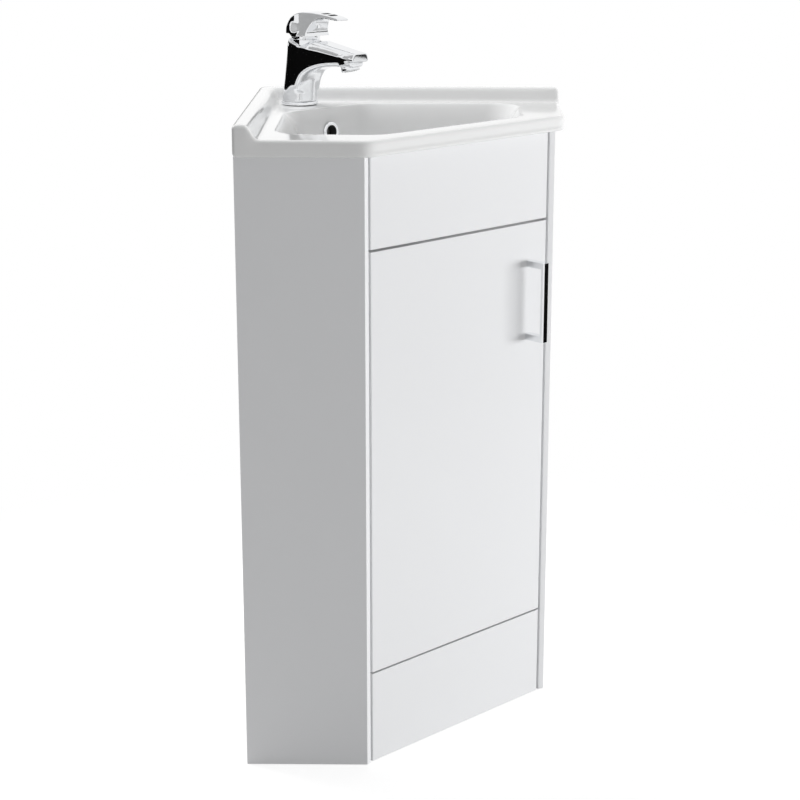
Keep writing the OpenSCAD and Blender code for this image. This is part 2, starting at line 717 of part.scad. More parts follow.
module tap_body() color(chrome) from_corner() difference() {
    union() {
        hull() {
            at_tap(ring_h + 0.1) cylinder(r = tap_top_r - 0.8, h = 3, $fn = hull_fn * 2);
            at_tap(tap_body_h * 0.45) translate([0, -tap_lean * 0.35, 0])
                cylinder(r = tap_top_r - 1.6, h = 1, $fn = hull_fn * 2);
            at_cartridge(tap_body_h - 3) cylinder(r = tap_top_r, h = 3, $fn = hull_fn * 2);
        }
        hull() {
            at_cartridge(tap_body_h - 39) cylinder(r = tap_top_r - 3.5, h = 36, $fn = hull_fn);
            at_outlet() translate([0, 0, 3]) cylinder(r = spout_tip_r, h = 13, $fn = hull_fn);
        }
        at_tap(ring_h - 3) cylinder(r = tap_hole_r - 1.2, h = 5);
    }
    at_cartridge(tap_body_h - cartridge_h) cylinder(r = cartridge_r + seat, h = cartridge_h + 1);
    at_cartridge(tap_body_h - collar_h) cylinder(r = cartridge_r + 1.6, h = collar_h + 1);
    at_outlet() translate([0, 0, -20]) cylinder(r = aerator_r - 2 + seat, h = 28);
    at_outlet() translate([0, 0, -20]) cylinder(r = aerator_r + 4 * seat, h = 23);
    hull() {
        at_cartridge(tap_body_h - cartridge_h + 2) sphere(r = 4, $fn = 16);
        at_outlet() translate([0, 0, 6]) sphere(r = 4, $fn = 16);
    }
    for (k = [-1, 1]) at_tap() translate([k * inlet_at[0], inlet_at[1], 0]) {
        translate([0, 0, -1]) cylinder(r = inlet_r, h = inlet_len + 3);
        translate([0, -way_off, inlet_len - 1])
            cylinder(r = way_r, h = tap_body_h - cartridge_h - inlet_len + 3);
    }
    at_tap() translate([stud_at[0], stud_at[1], -1]) cylinder(r = 4 + slack, h = 16);
}

// Frame of the outlet, at its mouth: z runs back up into the spout
module at_outlet() at_tap(tap_out_h) translate([0, -tap_reach, 0]) rotate([-outlet_tilt, 0, 0]) children();

module aerator_housing() color(chrome) from_corner() at_outlet() difference() {
    union() {
        translate([0, 0, -8]) rotate_extrude() polygon([[0, 0], [aerator_r - 1, 0], [aerator_r, 1],
            [aerator_r, 10.9], [0, 10.9]]);
        cylinder(r = aerator_r - 2, h = 7.5);
    }
    translate([0, 0, -9]) cylinder(r = aerator_r - 3.5, h = 20);
}

module aerator_insert() color(plastic) from_corner() at_outlet() translate([0, 0, -7]) difference() {
    cylinder(r = aerator_r - 3.5 - seat, h = 9);
    for (x = [-6:3:6], y = [-6:3:6]) if (norm([x, y]) < aerator_r - 5)
        translate([x, y, -1]) cylinder(r = 0.9, h = 4, $fn = 16);
}

module cartridge() color([0.85, 0.86, 0.88]) from_corner() at_cartridge(tap_body_h - cartridge_h + seat)
    difference() {
        union() {
            cylinder(r = cartridge_r, h = cartridge_h - collar_h - 1);
            cylinder(r = cartridge_r - 3, h = cartridge_h - collar_h + 4);
        }
        translate([0, 0, 10]) cylinder(r = carrier_r + slack, h = cartridge_h);
        for (k = [-1, 1]) translate([k * port_at[0], port_at[1], -1]) cylinder(r = 3, h = 9);
        translate([0, -8, -1]) cylinder(r = 3.5, h = 9);
    }

carrier_r = 11;
carrier_h = 14;
collar_top = tap_body_h + collar_h;
stem_w = 6;
stem_gap = 0.3;

module cartridge_nut() color(chrome) from_corner() at_cartridge(tap_body_h - collar_h + seat)
    difference() {
        union() {
            cylinder(r = cartridge_r + 1.5, h = collar_h);
            translate([0, 0, collar_h]) cylinder(r = hood_r - hood_wall - 1.2, h = collar_h - 1);
        }
        translate([0, 0, -1]) cylinder(r = cartridge_r - 3 + seat, h = 3 * collar_h);
    }

// The carrier turns in the cartridge, and the stem tilts on a pin across its slot
module stem_carrier() color(plastic) from_corner() at_cartridge(tap_body_h - cartridge_h + 10 + 2 * seat)
    difference() {
        cylinder(r = carrier_r, h = carrier_h);
        translate([-stem_w / 2 - stem_gap, -carrier_r - 1, 3])
            cube([stem_w + 2 * stem_gap, 2 * carrier_r + 2, carrier_h]);
        translate([-carrier_r - 1, 0, stem_pin_z]) rotate([0, 90, 0])
            cylinder(r = 1.5 + slack / 2, h = 2 * carrier_r + 2, $fn = 32);
    }

stem_pin_z = 9;
pivot_h = tap_body_h - cartridge_h + 10 + 2 * seat + stem_pin_z;

module stem_pin() color(zinc) from_corner() at_cartridge(pivot_h) translate([-carrier_r + 0.5, 0, 0])
    rotate([0, 90, 0]) cylinder(r = 1.5, h = 2 * carrier_r - 1, $fn = 32);

stem_top = collar_top + 12;
relief = 3;
module lever_stem() color([0.8, 0.72, 0.45]) from_corner() at_cartridge(pivot_h) difference() {
    union() {
        translate([-stem_w / 2, -stem_w / 2, 0]) cube([stem_w, stem_w, stem_top - pivot_h]);
        translate([-stem_w / 2, 0, 0]) rotate([0, 90, 0]) cylinder(r = 3.4, h = stem_w);
    }
    translate([-stem_w, 0, 0]) rotate([0, 90, 0]) cylinder(r = 1.5 + slack, h = 2 * stem_w, $fn = 32);
}

// Side view of the lever's band, from the back over the top to the tip and below:
// x back from the cartridge's axis, y above the collar
band_pts = [[22.5, 0.6], [22.5, 5], [20.6, 11], [17, 17], [11, 22.2], [3, 26], [-6, 27.8],
    [-18, 28.2], [-32, 27.6], [-50, 26.2], [-lever_len + 6, 24], [-lever_len, 22],
    [-lever_len, 20.2], [-lever_len + 8, 19.6], [-50, 21], [-38, 20], [-31, 17], [-26, 11],
    [-22.5, 4], [-22.5, 0.6]];
// Plan of the same band: half widths along x
band_plan = [[15, 23], [15, -6], [13.5, -24], [11.5, -44], [9.5, -lever_len + 8],
    [7, -lever_len + 2], [3, -lever_len - 1]];
// Outline of the hood that the band runs over: radius, height above the collar
hood_pts = [[0, 0.6], [hood_r - 0.8, 0.6], [hood_r - 0.8, 4], [19.8, 10.5], [16.2, 16.5],
    [10.4, 21.6], [0, 25]];

module lever() color(chrome) from_corner() difference() {
    union() {
        at_cartridge(collar_top) rotate_extrude() polygon(hood_pts);
        intersection() {
            at_cartridge(collar_top) translate([-hood_r, 0, 0]) rotate([90, 0, 90])
                linear_extrude(2 * hood_r) polygon(band_pts);
            at_cartridge(collar_top) linear_extrude(60) polygon(concat(band_plan,
                [for (i = [len(band_plan) - 1:-1:0]) [-band_plan[i][0], band_plan[i][1]]]));
            at_cartridge(collar_top) union() {
                cylinder(r = hood_r, h = 60);
                translate([-hood_r, -2 * lever_len, 0]) cube([2 * hood_r, 2 * lever_len - 16, 60]);
            }
        }
    }
    at_cartridge(collar_top - 1) cylinder(r = hood_r - hood_wall, h = 10);
    at_cartridge(collar_top + 8) translate([-stem_w / 2 - seat, -stem_w / 2 - seat, 0])
        cube([stem_w + 2 * seat, stem_w + 2 * seat, stem_top - collar_top - 8 + seat]);
    at_cartridge(collar_top) translate([-hood_r - 1, 4, 0]) cube([2 * hood_r + 2, hood_r, relief]);
    at_cartridge(lever_screw_h) rotate([90, 0, 0]) cylinder(r = 2.5 + slack, h = 2 * hood_r);
    for (y = [-37, -49]) at_cartridge(collar_top + 25) translate([-6, y - 3.5, 0]) cube([12, 7, 5]);
}

lever_screw_h = collar_top + 10;
module lever_screw() color(zinc) from_corner() at_cartridge(lever_screw_h) rotate([90, 0, 0])
    translate([0, 0, stem_w / 2 + seat]) cylinder(r = 2.5, h = 8);

module lever_plug() color(chrome) from_corner() at_cartridge(lever_screw_h) rotate([90, 0, 0])
    translate([0, 0, stem_w / 2 + 8.5]) cylinder(r = 2.4, h = hood_r - stem_w / 2 - 5);

// ---- mixer fixing, under the deck ----------------------------------------

under_z = -deck_t;
horseshoe_r = 24;
module horseshoe(t) difference() {
    cylinder(r = horseshoe_r, h = t);
    translate([-15.5, -horseshoe_r - 1, -1]) cube([31, horseshoe_r + 4, t + 2]);
    translate([stud_at[0], stud_at[1], -1]) cylinder(r = 4.2, h = t + 2);
}

module tap_stud() color(zinc) from_corner() at_tap(under_z - 32)
    translate([stud_at[0], stud_at[1], 0]) cylinder(r = 4, h = 32 + deck_t + 14);

module rubber_horseshoe() color(rubber) from_corner() at_tap(under_z - 2.5) horseshoe(2.4);

module steel_horseshoe() color(zinc) from_corner() at_tap(under_z - 4.6) horseshoe(2);

module tap_fixing_nut() color([0.8, 0.68, 0.35]) from_corner() at_tap(under_z - 22.7)
    translate([stud_at[0], stud_at[1], 0]) difference() {
        cylinder(r = 6.5, h = 18, $fn = 6);
        translate([0, 0, -1]) cylinder(r = 4 + slack, h = 20);
    }

// ---- waste ---------------------------------------------------------------

flange_t = 2.5;
seal_t = 2;
tail_len = 76;
waste_z = bowl_z + seal_t;     // underside of the flange
tail_z = waste_z - tail_len;
tail_in = tail_r - 3.4;
bridge_z = waste_z - 22;
plug_z = waste_z + flange_t + 0.4;
plug_r = flange_r - 2.5;
stem_r = 4;

module waste_body() color(chrome) from_corner() {
    at_waste(0) difference() {
        union() {
            translate([0, 0, waste_z]) rotate_extrude() polygon(concat([[0, 0], [flange_r, 0]],
                arc([flange_r - 1.5, flange_t - 1.5], 1.5, 0, 90, 3), [[0, flange_t]]));
            translate([0, 0, tail_z]) cylinder(r = tail_r, h = tail_len + 0.5);
        }
        difference() {
            translate([0, 0, tail_z - 1]) cylinder(r = tail_in, h = tail_len + 10);
            translate([-tail_in - 1, -3, bridge_z]) cube([2 * tail_in + 2, 6, 4]);
            translate([0, 0, bridge_z]) cylinder(r = stem_r + 3.5, h = 12);
        }
        translate([0, 0, bridge_z - 1]) cylinder(r = stem_r + slack, h = 14);
        for (a = [0, 90]) rotate(a) translate([-tail_r - 1, -4, bridge_z - 15])
            cube([2 * tail_r + 2, 8, 13]);
    }
}

module waste_top_seal() color(rubber) from_corner() at_waste(bowl_z + skin)
    tube(flange_r - 1.5, tail_r + 0.2, seal_t - 2 * skin);

module waste_under_seal() color(rubber) from_corner() at_waste(boss_z - 4)
    tube(boss_r - 3, tail_r + 0.2, 4 - skin);

module waste_back_nut() color(plastic) from_corner() at_waste(boss_z - 14) difference() {
    union() {
        cylinder(r = boss_r - 4, h = 3);
        cylinder(r = tail_r + 5.5, h = 9.9);
        for (a = [0:60:300]) rotate(a) translate([tail_r + 4, -2, 1]) cube([6, 4, 7.5]);
    }
    translate([0, 0, -1]) cylinder(r = tail_r + seat, h = 13);
}

module plug() color(chrome) from_corner() at_waste(plug_z) {
    rotate_extrude() polygon(concat([[0, 0], [plug_r, 0], [plug_r, 1.4]],
        [for (i = [1:6]) [plug_r * cos(i * 15), 1.4 + 3.6 * sin(i * 15)]]));
    translate([0, 0, bridge_z - plug_z - plug_travel - 1])
        cylinder(r = stem_r, h = plug_z - bridge_z + plug_travel + 1.5);
}

// ---- bottle trap ---------------------------------------------------------

nut_h = 24;
trap_seat_z = tail_z - 3;      // top of the trap's inlet flange
inlet_out_r = 16;
inlet_in_r = 13.5;
bottle_top = trap_seat_z - 22;
bottle_z = bottle_top - 96;
bottle_wall = 2.6;
outlet_z = bottle_top - 24;
outlet_r = pipe_r + 4.5;
outlet_len = 30;
cup_h = 26;
dip_gap = 14;                  // between the inlet pipe's end and the bottle's floor

module trap_nut() color(plastic) from_corner() at_waste(trap_seat_z - 7) difference() {
    union() {
        cylinder(r = tail_r + 7, h = nut_h);
        for (a = [0:30:330]) rotate(a) translate([tail_r + 6, -1.6, 0]) cube([2.2, 3.2, nut_h]);
    }
    translate([0, 0, 3.5]) cylinder(r = tail_r + seat, h = nut_h);
    translate([0, 0, -1]) cylinder(r = inlet_out_r + 0.4, h = nut_h);
}

module trap_washer() color(rubber) from_corner() at_waste(trap_seat_z + skin)
    tube(tail_r - 0.2, inlet_in_r + 1, 3 - 2 * skin);

// The trap is turned so that its outlet faces the right wall
module at_trap(z) at_waste(z) rotate([0, 0, -45]) children();

module trap_body() color(plastic) from_corner() at_trap(0) difference() {
    union() {
        translate([0, 0, trap_seat_z - 3.4]) cylinder(r = tail_r - 0.2, h = 3.4);
        translate([0, 0, bottle_z + dip_gap])
            cylinder(r = inlet_out_r, h = trap_seat_z - bottle_z - dip_gap);
        difference() {
            translate([0, 0, bottle_z]) cylinder(r = bottle_r, h = bottle_top - bottle_z);
            translate([0, 0, bottle_z - 1])
                cylinder(r = bottle_r - bottle_wall, h = bottle_top - bottle_z - 3);
        }
        difference() {
            translate([0, 0, outlet_z]) rotate([-90, 0, 0])
                cylinder(r = outlet_r, h = bottle_r + outlet_len);
            translate([0, 0, bottle_z])
                cylinder(r = bottle_r - bottle_wall, h = bottle_top - bottle_z - bottle_wall);
        }
    }
    translate([0, 0, bottle_z + dip_gap - 1]) cylinder(r = inlet_in_r, h = trap_seat_z - bottle_z);
    translate([0, bottle_r, outlet_z]) rotate([-90, 0, 0]) cylinder(r = pipe_r + 0.3, h = outlet_len + 1);
    translate([0, inlet_out_r + 2, outlet_z]) rotate([-90, 0, 0]) cylinder(r = pipe_r - 2, h = outlet_len);
}

module trap_cup() color(plastic) from_corner() at_waste(bottle_z - 8) difference() {
    union() {
        cylinder(r = bottle_r + 3.5, h = cup_h);
        for (a = [0:20:340]) rotate(a) translate([bottle_r + 2, -1.5, 3]) cube([2.7, 3, cup_h - 6]);
    }
    translate([0, 0, 4]) cylinder(r = bottle_r - bottle_wall, h = cup_h);
    translate([0, 0, 8 - slack]) cylinder(r = bottle_r + seat, h = cup_h);
}

module trap_outlet_nut() color(plastic) from_corner() at_trap(outlet_z) translate([0, bottle_r + 6, 0])
    rotate([-90, 0, 0]) difference() {
        union() {
            cylinder(r = outlet_r + 4, h = outlet_len - 2);
            for (a = [0:30:330]) rotate(a) translate([outlet_r + 3, -1.5, 0]) cube([2.4, 3, outlet_len - 2]);
        }
        translate([0, 0, -1]) cylinder(r = outlet_r + seat, h = outlet_len - 4);
        cylinder(r = pipe_r + 0.3, h = outlet_len);
    }

left_side_panel();
right_side_panel();
base_panel();
plinth_panel();
fascia_panel();
corner_post();
left_top_rail();
right_top_rail();
left_low_rail();
right_low_rail();
fascia_blocks();
plinth_blocks();
base_dowels();
block_screws();
door_panel();
door_handle();
handle_screws();
door_buffers();
upper_hinge_plate();
lower_hinge_plate();
hinge_plate_screws();
upper_hinge_arm();
lower_hinge_arm();
hinge_arm_screws();
hinge_arm_pins();
inner_links();
outer_links();
upper_hinge_cup();
lower_hinge_cup();
hinge_cup_pins();
hinge_cup_screws();
basin();
overflow_ring();
tap_base_ring();
tap_base_seal();
tap_body();
aerator_housing();
aerator_insert();
cartridge();
cartridge_nut();
stem_carrier();
stem_pin();
lever();
lever_stem();
lever_screw();
lever_plug();
tap_stud();
rubber_horseshoe();
steel_horseshoe();
tap_fixing_nut();
waste_body();
waste_top_seal();
waste_under_seal();
waste_back_nut();
plug();
trap_nut();
trap_washer();
trap_body();
trap_cup();
trap_outlet_nut();
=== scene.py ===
import json
import math

import bmesh
import bpy
import numpy as np
from mathutils import Matrix, Vector

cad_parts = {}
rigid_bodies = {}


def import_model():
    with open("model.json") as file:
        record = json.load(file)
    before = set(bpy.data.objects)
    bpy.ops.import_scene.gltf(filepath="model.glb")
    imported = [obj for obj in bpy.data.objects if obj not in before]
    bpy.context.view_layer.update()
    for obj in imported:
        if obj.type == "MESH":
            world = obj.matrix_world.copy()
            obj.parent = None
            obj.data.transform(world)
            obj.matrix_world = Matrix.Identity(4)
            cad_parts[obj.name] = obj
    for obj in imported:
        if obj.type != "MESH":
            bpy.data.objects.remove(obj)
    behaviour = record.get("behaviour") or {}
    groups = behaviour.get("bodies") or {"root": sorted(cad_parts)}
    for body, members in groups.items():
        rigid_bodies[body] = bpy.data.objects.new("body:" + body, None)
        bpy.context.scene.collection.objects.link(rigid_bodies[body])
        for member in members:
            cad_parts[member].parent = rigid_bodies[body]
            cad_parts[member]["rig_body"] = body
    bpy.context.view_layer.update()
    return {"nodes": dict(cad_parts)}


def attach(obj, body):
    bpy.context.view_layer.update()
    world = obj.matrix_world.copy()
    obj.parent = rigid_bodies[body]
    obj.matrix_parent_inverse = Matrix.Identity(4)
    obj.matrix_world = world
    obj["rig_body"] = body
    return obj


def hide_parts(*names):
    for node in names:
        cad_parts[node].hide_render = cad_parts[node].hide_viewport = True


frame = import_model()

# ---- Camera ---------------------------------------------------------------
# It stands to the left of the unit, a little above the mixer, and looks down
# on it. Its place was found from the straight edges of the cabinet.

FRAME_WIDTH = 800
FOCAL_LENGTH = 1906.5  # in pixels of the frame
LOOK_DOWN = 0.2737
LOOK_RIGHT = 0.7729
camera_data = bpy.data.cameras.new("camera")
camera_data.sensor_width = 36.0
camera_data.lens = FOCAL_LENGTH / FRAME_WIDTH * camera_data.sensor_width
camera = bpy.data.objects.new("camera", camera_data)
camera.location = (-1.6705, -1.7739, 1.0950)
camera.rotation_euler = (math.pi / 2 - LOOK_DOWN, 0, -LOOK_RIGHT)
bpy.context.collection.objects.link(camera)
bpy.context.scene.camera = camera
bpy.context.scene.view_settings.view_transform = "Standard"

# ---- Floor, lamps and flags -------------------------------------------------
# A pale studio: a white floor that keeps the unit's shadow, and two large soft
# lamps, in front at the right and overhead. Black flags and grey cards stand
# round it, and only chrome and glaze show them.


class Value:
    """A socket of a material's tree. Sums and products on it add Math nodes."""

    def __init__(self, finish, socket):
        self.finish = finish
        self.socket = socket

    def maths(self, operation, a, b):
        return self.finish.node("ShaderNodeMath", {"operation": operation}, {0: a, 1: b})

    def __add__(self, other):
        return self.maths("ADD", self, other)

    def __radd__(self, other):
        return self.maths("ADD", other, self)

    def __mul__(self, other):
        return self.maths("MULTIPLY", self, other)

    def __rmul__(self, other):
        return self.maths("MULTIPLY", other, self)


class Finish:
    """A material that is built node by node."""

    def __init__(self, name, **sockets):
        self.material = bpy.data.materials.new(name)
        self.material.use_nodes = True
        self.tree = self.material.node_tree
        self.surface = self.tree.nodes["Principled BSDF"]
        self.sheet = self.tree.nodes["Material Output"]
        for key, value in sockets.items():
            self.set(key.replace("_", " ").title().replace("Ior", "IOR"), value)

    def node(self, kind, settings=(), values=(), output=0):
        made = self.tree.nodes.new(kind)
        for key, value in dict(settings).items():
            if key == "stops":
                ramp = made.color_ramp.elements
                while len(ramp) < len(value):
                    ramp.new(0.5)
                for element, (place, colour) in zip(ramp, value):
                    element.position = place
                    element.color = (*colour, 1)
            else:
                setattr(made, key, value)
        for key, value in dict(values).items():
            self.feed(made.inputs[key], value)
        return Value(self, made.outputs[output])

    def feed(self, socket, value):
        if isinstance(value, Value):
            self.tree.links.new(value.socket, socket)
        elif hasattr(socket.default_value, "__len__") and len(socket.default_value) == 4:
            socket.default_value = (*value, 1)
        else:
            socket.default_value = value

    def set(self, name, value):
        self.feed(self.surface.inputs[name], value)

    def place(self, scale=(1, 1, 1)):
        where = self.node("ShaderNodeTexCoord", output=3)
        return self.node("ShaderNodeMapping", values={"Vector": where, "Scale": scale})

    def noise(self, scale, detail=4.0, stretch=(1, 1, 1)):
        return self.node(
            "ShaderNodeTexNoise",
            values={"Vector": self.place(stretch), "Scale": scale, "Detail": detail},
        )

    def blend(self, factor, dark, light):
        return self.node(
            "ShaderNodeMix",
            {"data_type": "RGBA"},
            {"Factor": factor, 6: dark, 7: light},
            output=2,
        )

    def bump(self, height, depth):
        bumped = self.node("ShaderNodeBump", values={"Height": height, "Distance": depth})
        self.set("Normal", bumped)


def link(name, mesh):
    made = bpy.data.objects.new(name, mesh)
    bpy.context.collection.objects.link(made)
    return made


def card(name, corners, material):
    mesh = bpy.data.meshes.new(name)
    mesh.from_pydata(corners, [], [range(len(corners))])
    mesh.materials.append(material)
    made = link(name, mesh)
    return made


# The camera sees the floor as white paper. It is grey only in the unit's shadow.
floor_paper = Finish("studio_floor", roughness=0.9)
floor_paper.set("Base Color", (0.6, 0.6, 0.6))
floor_away = floor_paper.node(
    "ShaderNodeVectorMath",
    {"operation": "LENGTH"},
    {0: floor_paper.place((1, 1, 0))},
    output=1,
)
floor_rise = floor_paper.node(
    "ShaderNodeMapRange",
    {"interpolation_type": "SMOOTHSTEP"},
    {"Value": floor_away, "From Min": 0.35, "From Max": 1.0},
)
floor_glow = floor_paper.node("ShaderNodeEmission", values={"Strength": 0.70})
floor_ink = floor_paper.node("ShaderNodeBsdfDiffuse", values={"Color": (0.55, 0.55, 0.55)})
floor_near = floor_paper.node("ShaderNodeAddShader", values={0: floor_glow, 1: floor_ink})
floor_far = floor_paper.node("ShaderNodeEmission", values={"Strength": 1.0})
floor_seen = floor_paper.node(
    "ShaderNodeMixShader", values={0: floor_rise, 1: floor_near, 2: floor_far}
)
floor_ray = floor_paper.node("ShaderNodeLightPath")
for way in (3, 6):  # reflections and clear plastic show the paper too
    other_ray = floor_paper.node("ShaderNodeLightPath", output=way)
    floor_ray = floor_ray.maths("MAXIMUM", floor_ray, other_ray)
floor_plain = Value(floor_paper, floor_paper.surface.outputs[0])
floor_paper.feed(
    floor_paper.sheet.inputs["Surface"],
    floor_paper.node("ShaderNodeMixShader", values={0: floor_ray, 1: floor_plain, 2: floor_seen}),
)
FLOOR_HALF = 8
FLOOR_Z = -0.0005  # just under the feet, so that no faces share a plane
floor_corners = [
    (x * FLOOR_HALF, y * FLOOR_HALF, FLOOR_Z) for x, y in ((-1, -1), (1, -1), (1, 1), (-1, 1))
]
card("studio_floor", floor_corners, floor_paper.material)

world = bpy.data.worlds.new("studio")
bpy.context.scene.world = world
world.use_nodes = True
sky = world.node_tree
sky_ray = sky.nodes.new("ShaderNodeLightPath")
sky_strength = sky.nodes.new("ShaderNodeMapRange")
sky_strength.inputs["To Min"].default_value = 0.39
sky_strength.inputs["To Max"].default_value = 1.0
sky_seen = sky_ray.outputs["Is Camera Ray"]
for ray in ("Is Glossy Ray", "Is Transmission Ray"):
    either = sky.nodes.new("ShaderNodeMath")
    either.operation = "MAXIMUM"
    sky.links.new(sky_seen, either.inputs[0])
    sky.links.new(sky_ray.outputs[ray], either.inputs[1])
    sky_seen = either.outputs[0]
sky.links.new(sky_seen, sky_strength.inputs["Value"])
sky.links.new(sky_strength.outputs[0], sky.nodes["Background"].inputs["Strength"])
sky.nodes["Background"].inputs["Color"].default_value = (1, 1, 1, 1)


def lamp(name, power, wide, tall, at, towards):
    data = bpy.data.lights.new(name, "AREA")
    data.shape = "RECTANGLE"
    data.energy = power
    data.size, data.size_y = wide, tall
    made = link(name, data)
    made.location = at
    made.visible_glossy = False
    made.rotation_mode = "QUATERNION"
    made.rotation_quaternion = (Vector(at) - Vector(towards)).to_track_quat("Z", "Y")


lamp("front_lamp", 119, 2.8, 1.0, (2.6, -3.3, 0.5), (0, 0, 0.45))
lamp("top_lamp", 38, 1.4, 1.4, (-0.1, 1.1, 2.5), (0, 0.05, 0.8))

grey = Finish("card_grey", roughness=1.0)
grey.set("Base Color", (0.36, 0.36, 0.36))
grey.set("Specular IOR Level", 0.0)
black = Finish("flag_black", roughness=1.0)
black.set("Base Color", (0.004, 0.004, 0.004))
black.set("Specular IOR Level", 0.0)


def standing(start, end, low, high):
    """Corners of a card that stands upright between two points of the floor."""
    return [(*start, low), (*end, low), (*end, high), (*start, high)]


for name, finish, corners in (
    ("left_flag", black, standing((-1.7, 0.25), (-0.9, 1.7), 0.0, 1.1)),
    ("back_flag", black, standing((-0.9, 1.7), (0.5, 1.63), 0.0, 0.95)),
    ("right_flag", black, [(1, -2.9, 0.01), (3.3, -2.9, 0.01), (3.3, -1.1, 0.01), (1, -1.1, 0.01)]),
    ("back_card", grey, standing((0.5, 1.63), (1.3, 1.6), 0.0, 0.95)),
    ("left_card", grey, standing((-1.4, 0.9), (-0.7, 1.8), 1.35, 2.0)),
):
    flag = card(name, corners, finish.material)
    flag.visible_camera = False
    flag.visible_diffuse = False
    flag.visible_shadow = False

# ---- White boards ---------------------------------------------------------
# The side panels, plinth, fascia and door are boards with a white lacquer.
# Their edges are eased, and the lacquer rounds them a little more.

lacquer = Finish("white_lacquer", roughness=0.38, coat_weight=0.2, coat_roughness=0.25)
lacquer.set(
    "Base Color",
    lacquer.blend(lacquer.noise(3.0, 2), (0.845, 0.852, 0.865), (0.862, 0.869, 0.882)),
)
lacquer.set("Roughness", 0.36 + 0.1 * lacquer.noise(14, 3))
lacquer.bump(lacquer.noise(260, 2), 0.00004)


def stand_for(node, piece):
    """The piece moves with the node's body and takes the node's place."""
    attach(piece, frame["nodes"][node]["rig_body"])
    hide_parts(node)


def eased(node, finish, width=0.0, angle=30, segments=2):
    """A copy of a CAD node with rounded edges, which stands for the node."""
    mesh = frame["nodes"][node].data.copy()
    part = link(node + "_eased", mesh)
    work = bmesh.new()
    work.from_mesh(mesh)
    bmesh.ops.remove_doubles(work, verts=work.verts, dist=0.00001)
    bmesh.ops.dissolve_limit(
        work, angle_limit=math.radians(0.5), verts=work.verts, edges=work.edges
    )
    work.to_mesh(mesh)
    work.free()
    mesh.shade_smooth()
    if width:
        round_off = part.modifiers.new("round_off", "BEVEL")
        round_off.width = width
        round_off.segments = segments
        round_off.limit_method = "ANGLE"
        round_off.angle_limit = math.radians(angle)
        flat_faces = part.modifiers.new("flat_faces", "WEIGHTED_NORMAL")
        flat_faces.weight = 100
        flat_faces.keep_sharp = True
    else:
        mesh.set_sharp_from_angle(angle=math.radians(angle))
    mesh.materials.clear()
    mesh.materials.append(finish.material)
    stand_for(node, part)


for board in ("left_side_panel", "right_side_panel", "plinth_panel", "fascia_panel", "door_panel"):
    eased(board, lacquer, 0.0007)

# ---- Base, post, rails and blocks ------------------------------------------
# The base is a grey melamine board. The post, the rails and the glue blocks
# are planed softwood, hidden behind the panels.

melamine = Finish("grey_melamine", roughness=0.55)
melamine.set(
    "Base Color", melamine.blend(melamine.noise(900, 2), (0.60, 0.60, 0.59), (0.70, 0.70, 0.69))
)
melamine.bump(melamine.noise(700, 2), 0.00005)
eased("base_panel", melamine, 0.0006)

softwood = Finish("softwood", roughness=0.6)
rings = softwood.node(
    "ShaderNodeTexWave",
    {"wave_type": "RINGS", "rings_direction": "Z"},
    {
        "Vector": softwood.place((1, 1, 0.06)), "Scale": 30, "Distortion": 6, "Detail": 3,
        "Detail Scale": 1.5,
    },
)
fibre = softwood.noise(220, 3, (1, 1, 0.05))
softwood.set(
    "Base Color", softwood.blend(rings * 0.6 + fibre * 0.4, (0.50, 0.33, 0.17), (0.72, 0.55, 0.34))
)
softwood.set("Roughness", 0.5 + 0.2 * fibre)
softwood.bump(fibre, 0.0002)
for timber in (
    "corner_post", "left_top_rail", "right_top_rail", "left_low_rail", "right_low_rail",
    "fascia_blocks", "plinth_blocks",
):
    eased(timber, softwood, 0.0012)
eased("base_dowels", softwood)

# ---- Handle ----------------------------------------------------------------
# A chromed square bar on two legs, 96 mm from hole to hole. Two screws hold
# it from the back of the door.

chrome = Finish("chrome", metallic=1.0)
chrome.set("Base Color", chrome.blend(chrome.noise(9, 2), (0.80, 0.81, 0.83), (0.85, 0.86, 0.87)))
chrome.set("Roughness", 0.035 + 0.05 * chrome.noise(60, 3))
eased("door_handle", chrome, 0.0009, segments=3)

# ---- Hinges ------------------------------------------------------------------
# Two concealed hinges, pressed and cast in zinc-plated metal. Each has a plate
# on the side panel, an arm, two links and a cup that is let into the door.

zinc = Finish("zinc_plate", metallic=1.0)
zinc.set("Base Color", zinc.blend(zinc.noise(120, 3), (0.52, 0.53, 0.55), (0.66, 0.67, 0.69)))
zinc.set("Roughness", 0.28 + 0.16 * zinc.noise(300, 2))
for fitting in ("upper_hinge_plate", "lower_hinge_plate", "upper_hinge_arm", "lower_hinge_arm"):
    eased(fitting, zinc, 0.0003, angle=40)
for fitting in (
    "upper_hinge_cup", "lower_hinge_cup", "inner_links", "outer_links", "hinge_arm_pins",
    "hinge_cup_pins", "stem_pin", "tap_stud", "steel_horseshoe",
):
    eased(fitting, zinc)

soft_pad = Finish("clear_pad", roughness=0.3)
soft_pad.set(
    "Base Color", soft_pad.blend(soft_pad.noise(400, 2), (0.66, 0.70, 0.74), (0.76, 0.80, 0.83))
)
soft_pad.set("Transmission Weight", 0.35)
eased("door_buffers", soft_pad)

# ---- Screws --------------------------------------------------------------------
# Zinc-plated screws with a cross recess in the head. One screw of each kind is
# turned and recessed, and a node tree sets it at each of its places.


def arc_points(x, z, radius, start, end, count):
    return [
        (x + radius * math.cos(t), z + radius * math.sin(t))
        for t in np.radians(np.linspace(start, end, count))
    ]


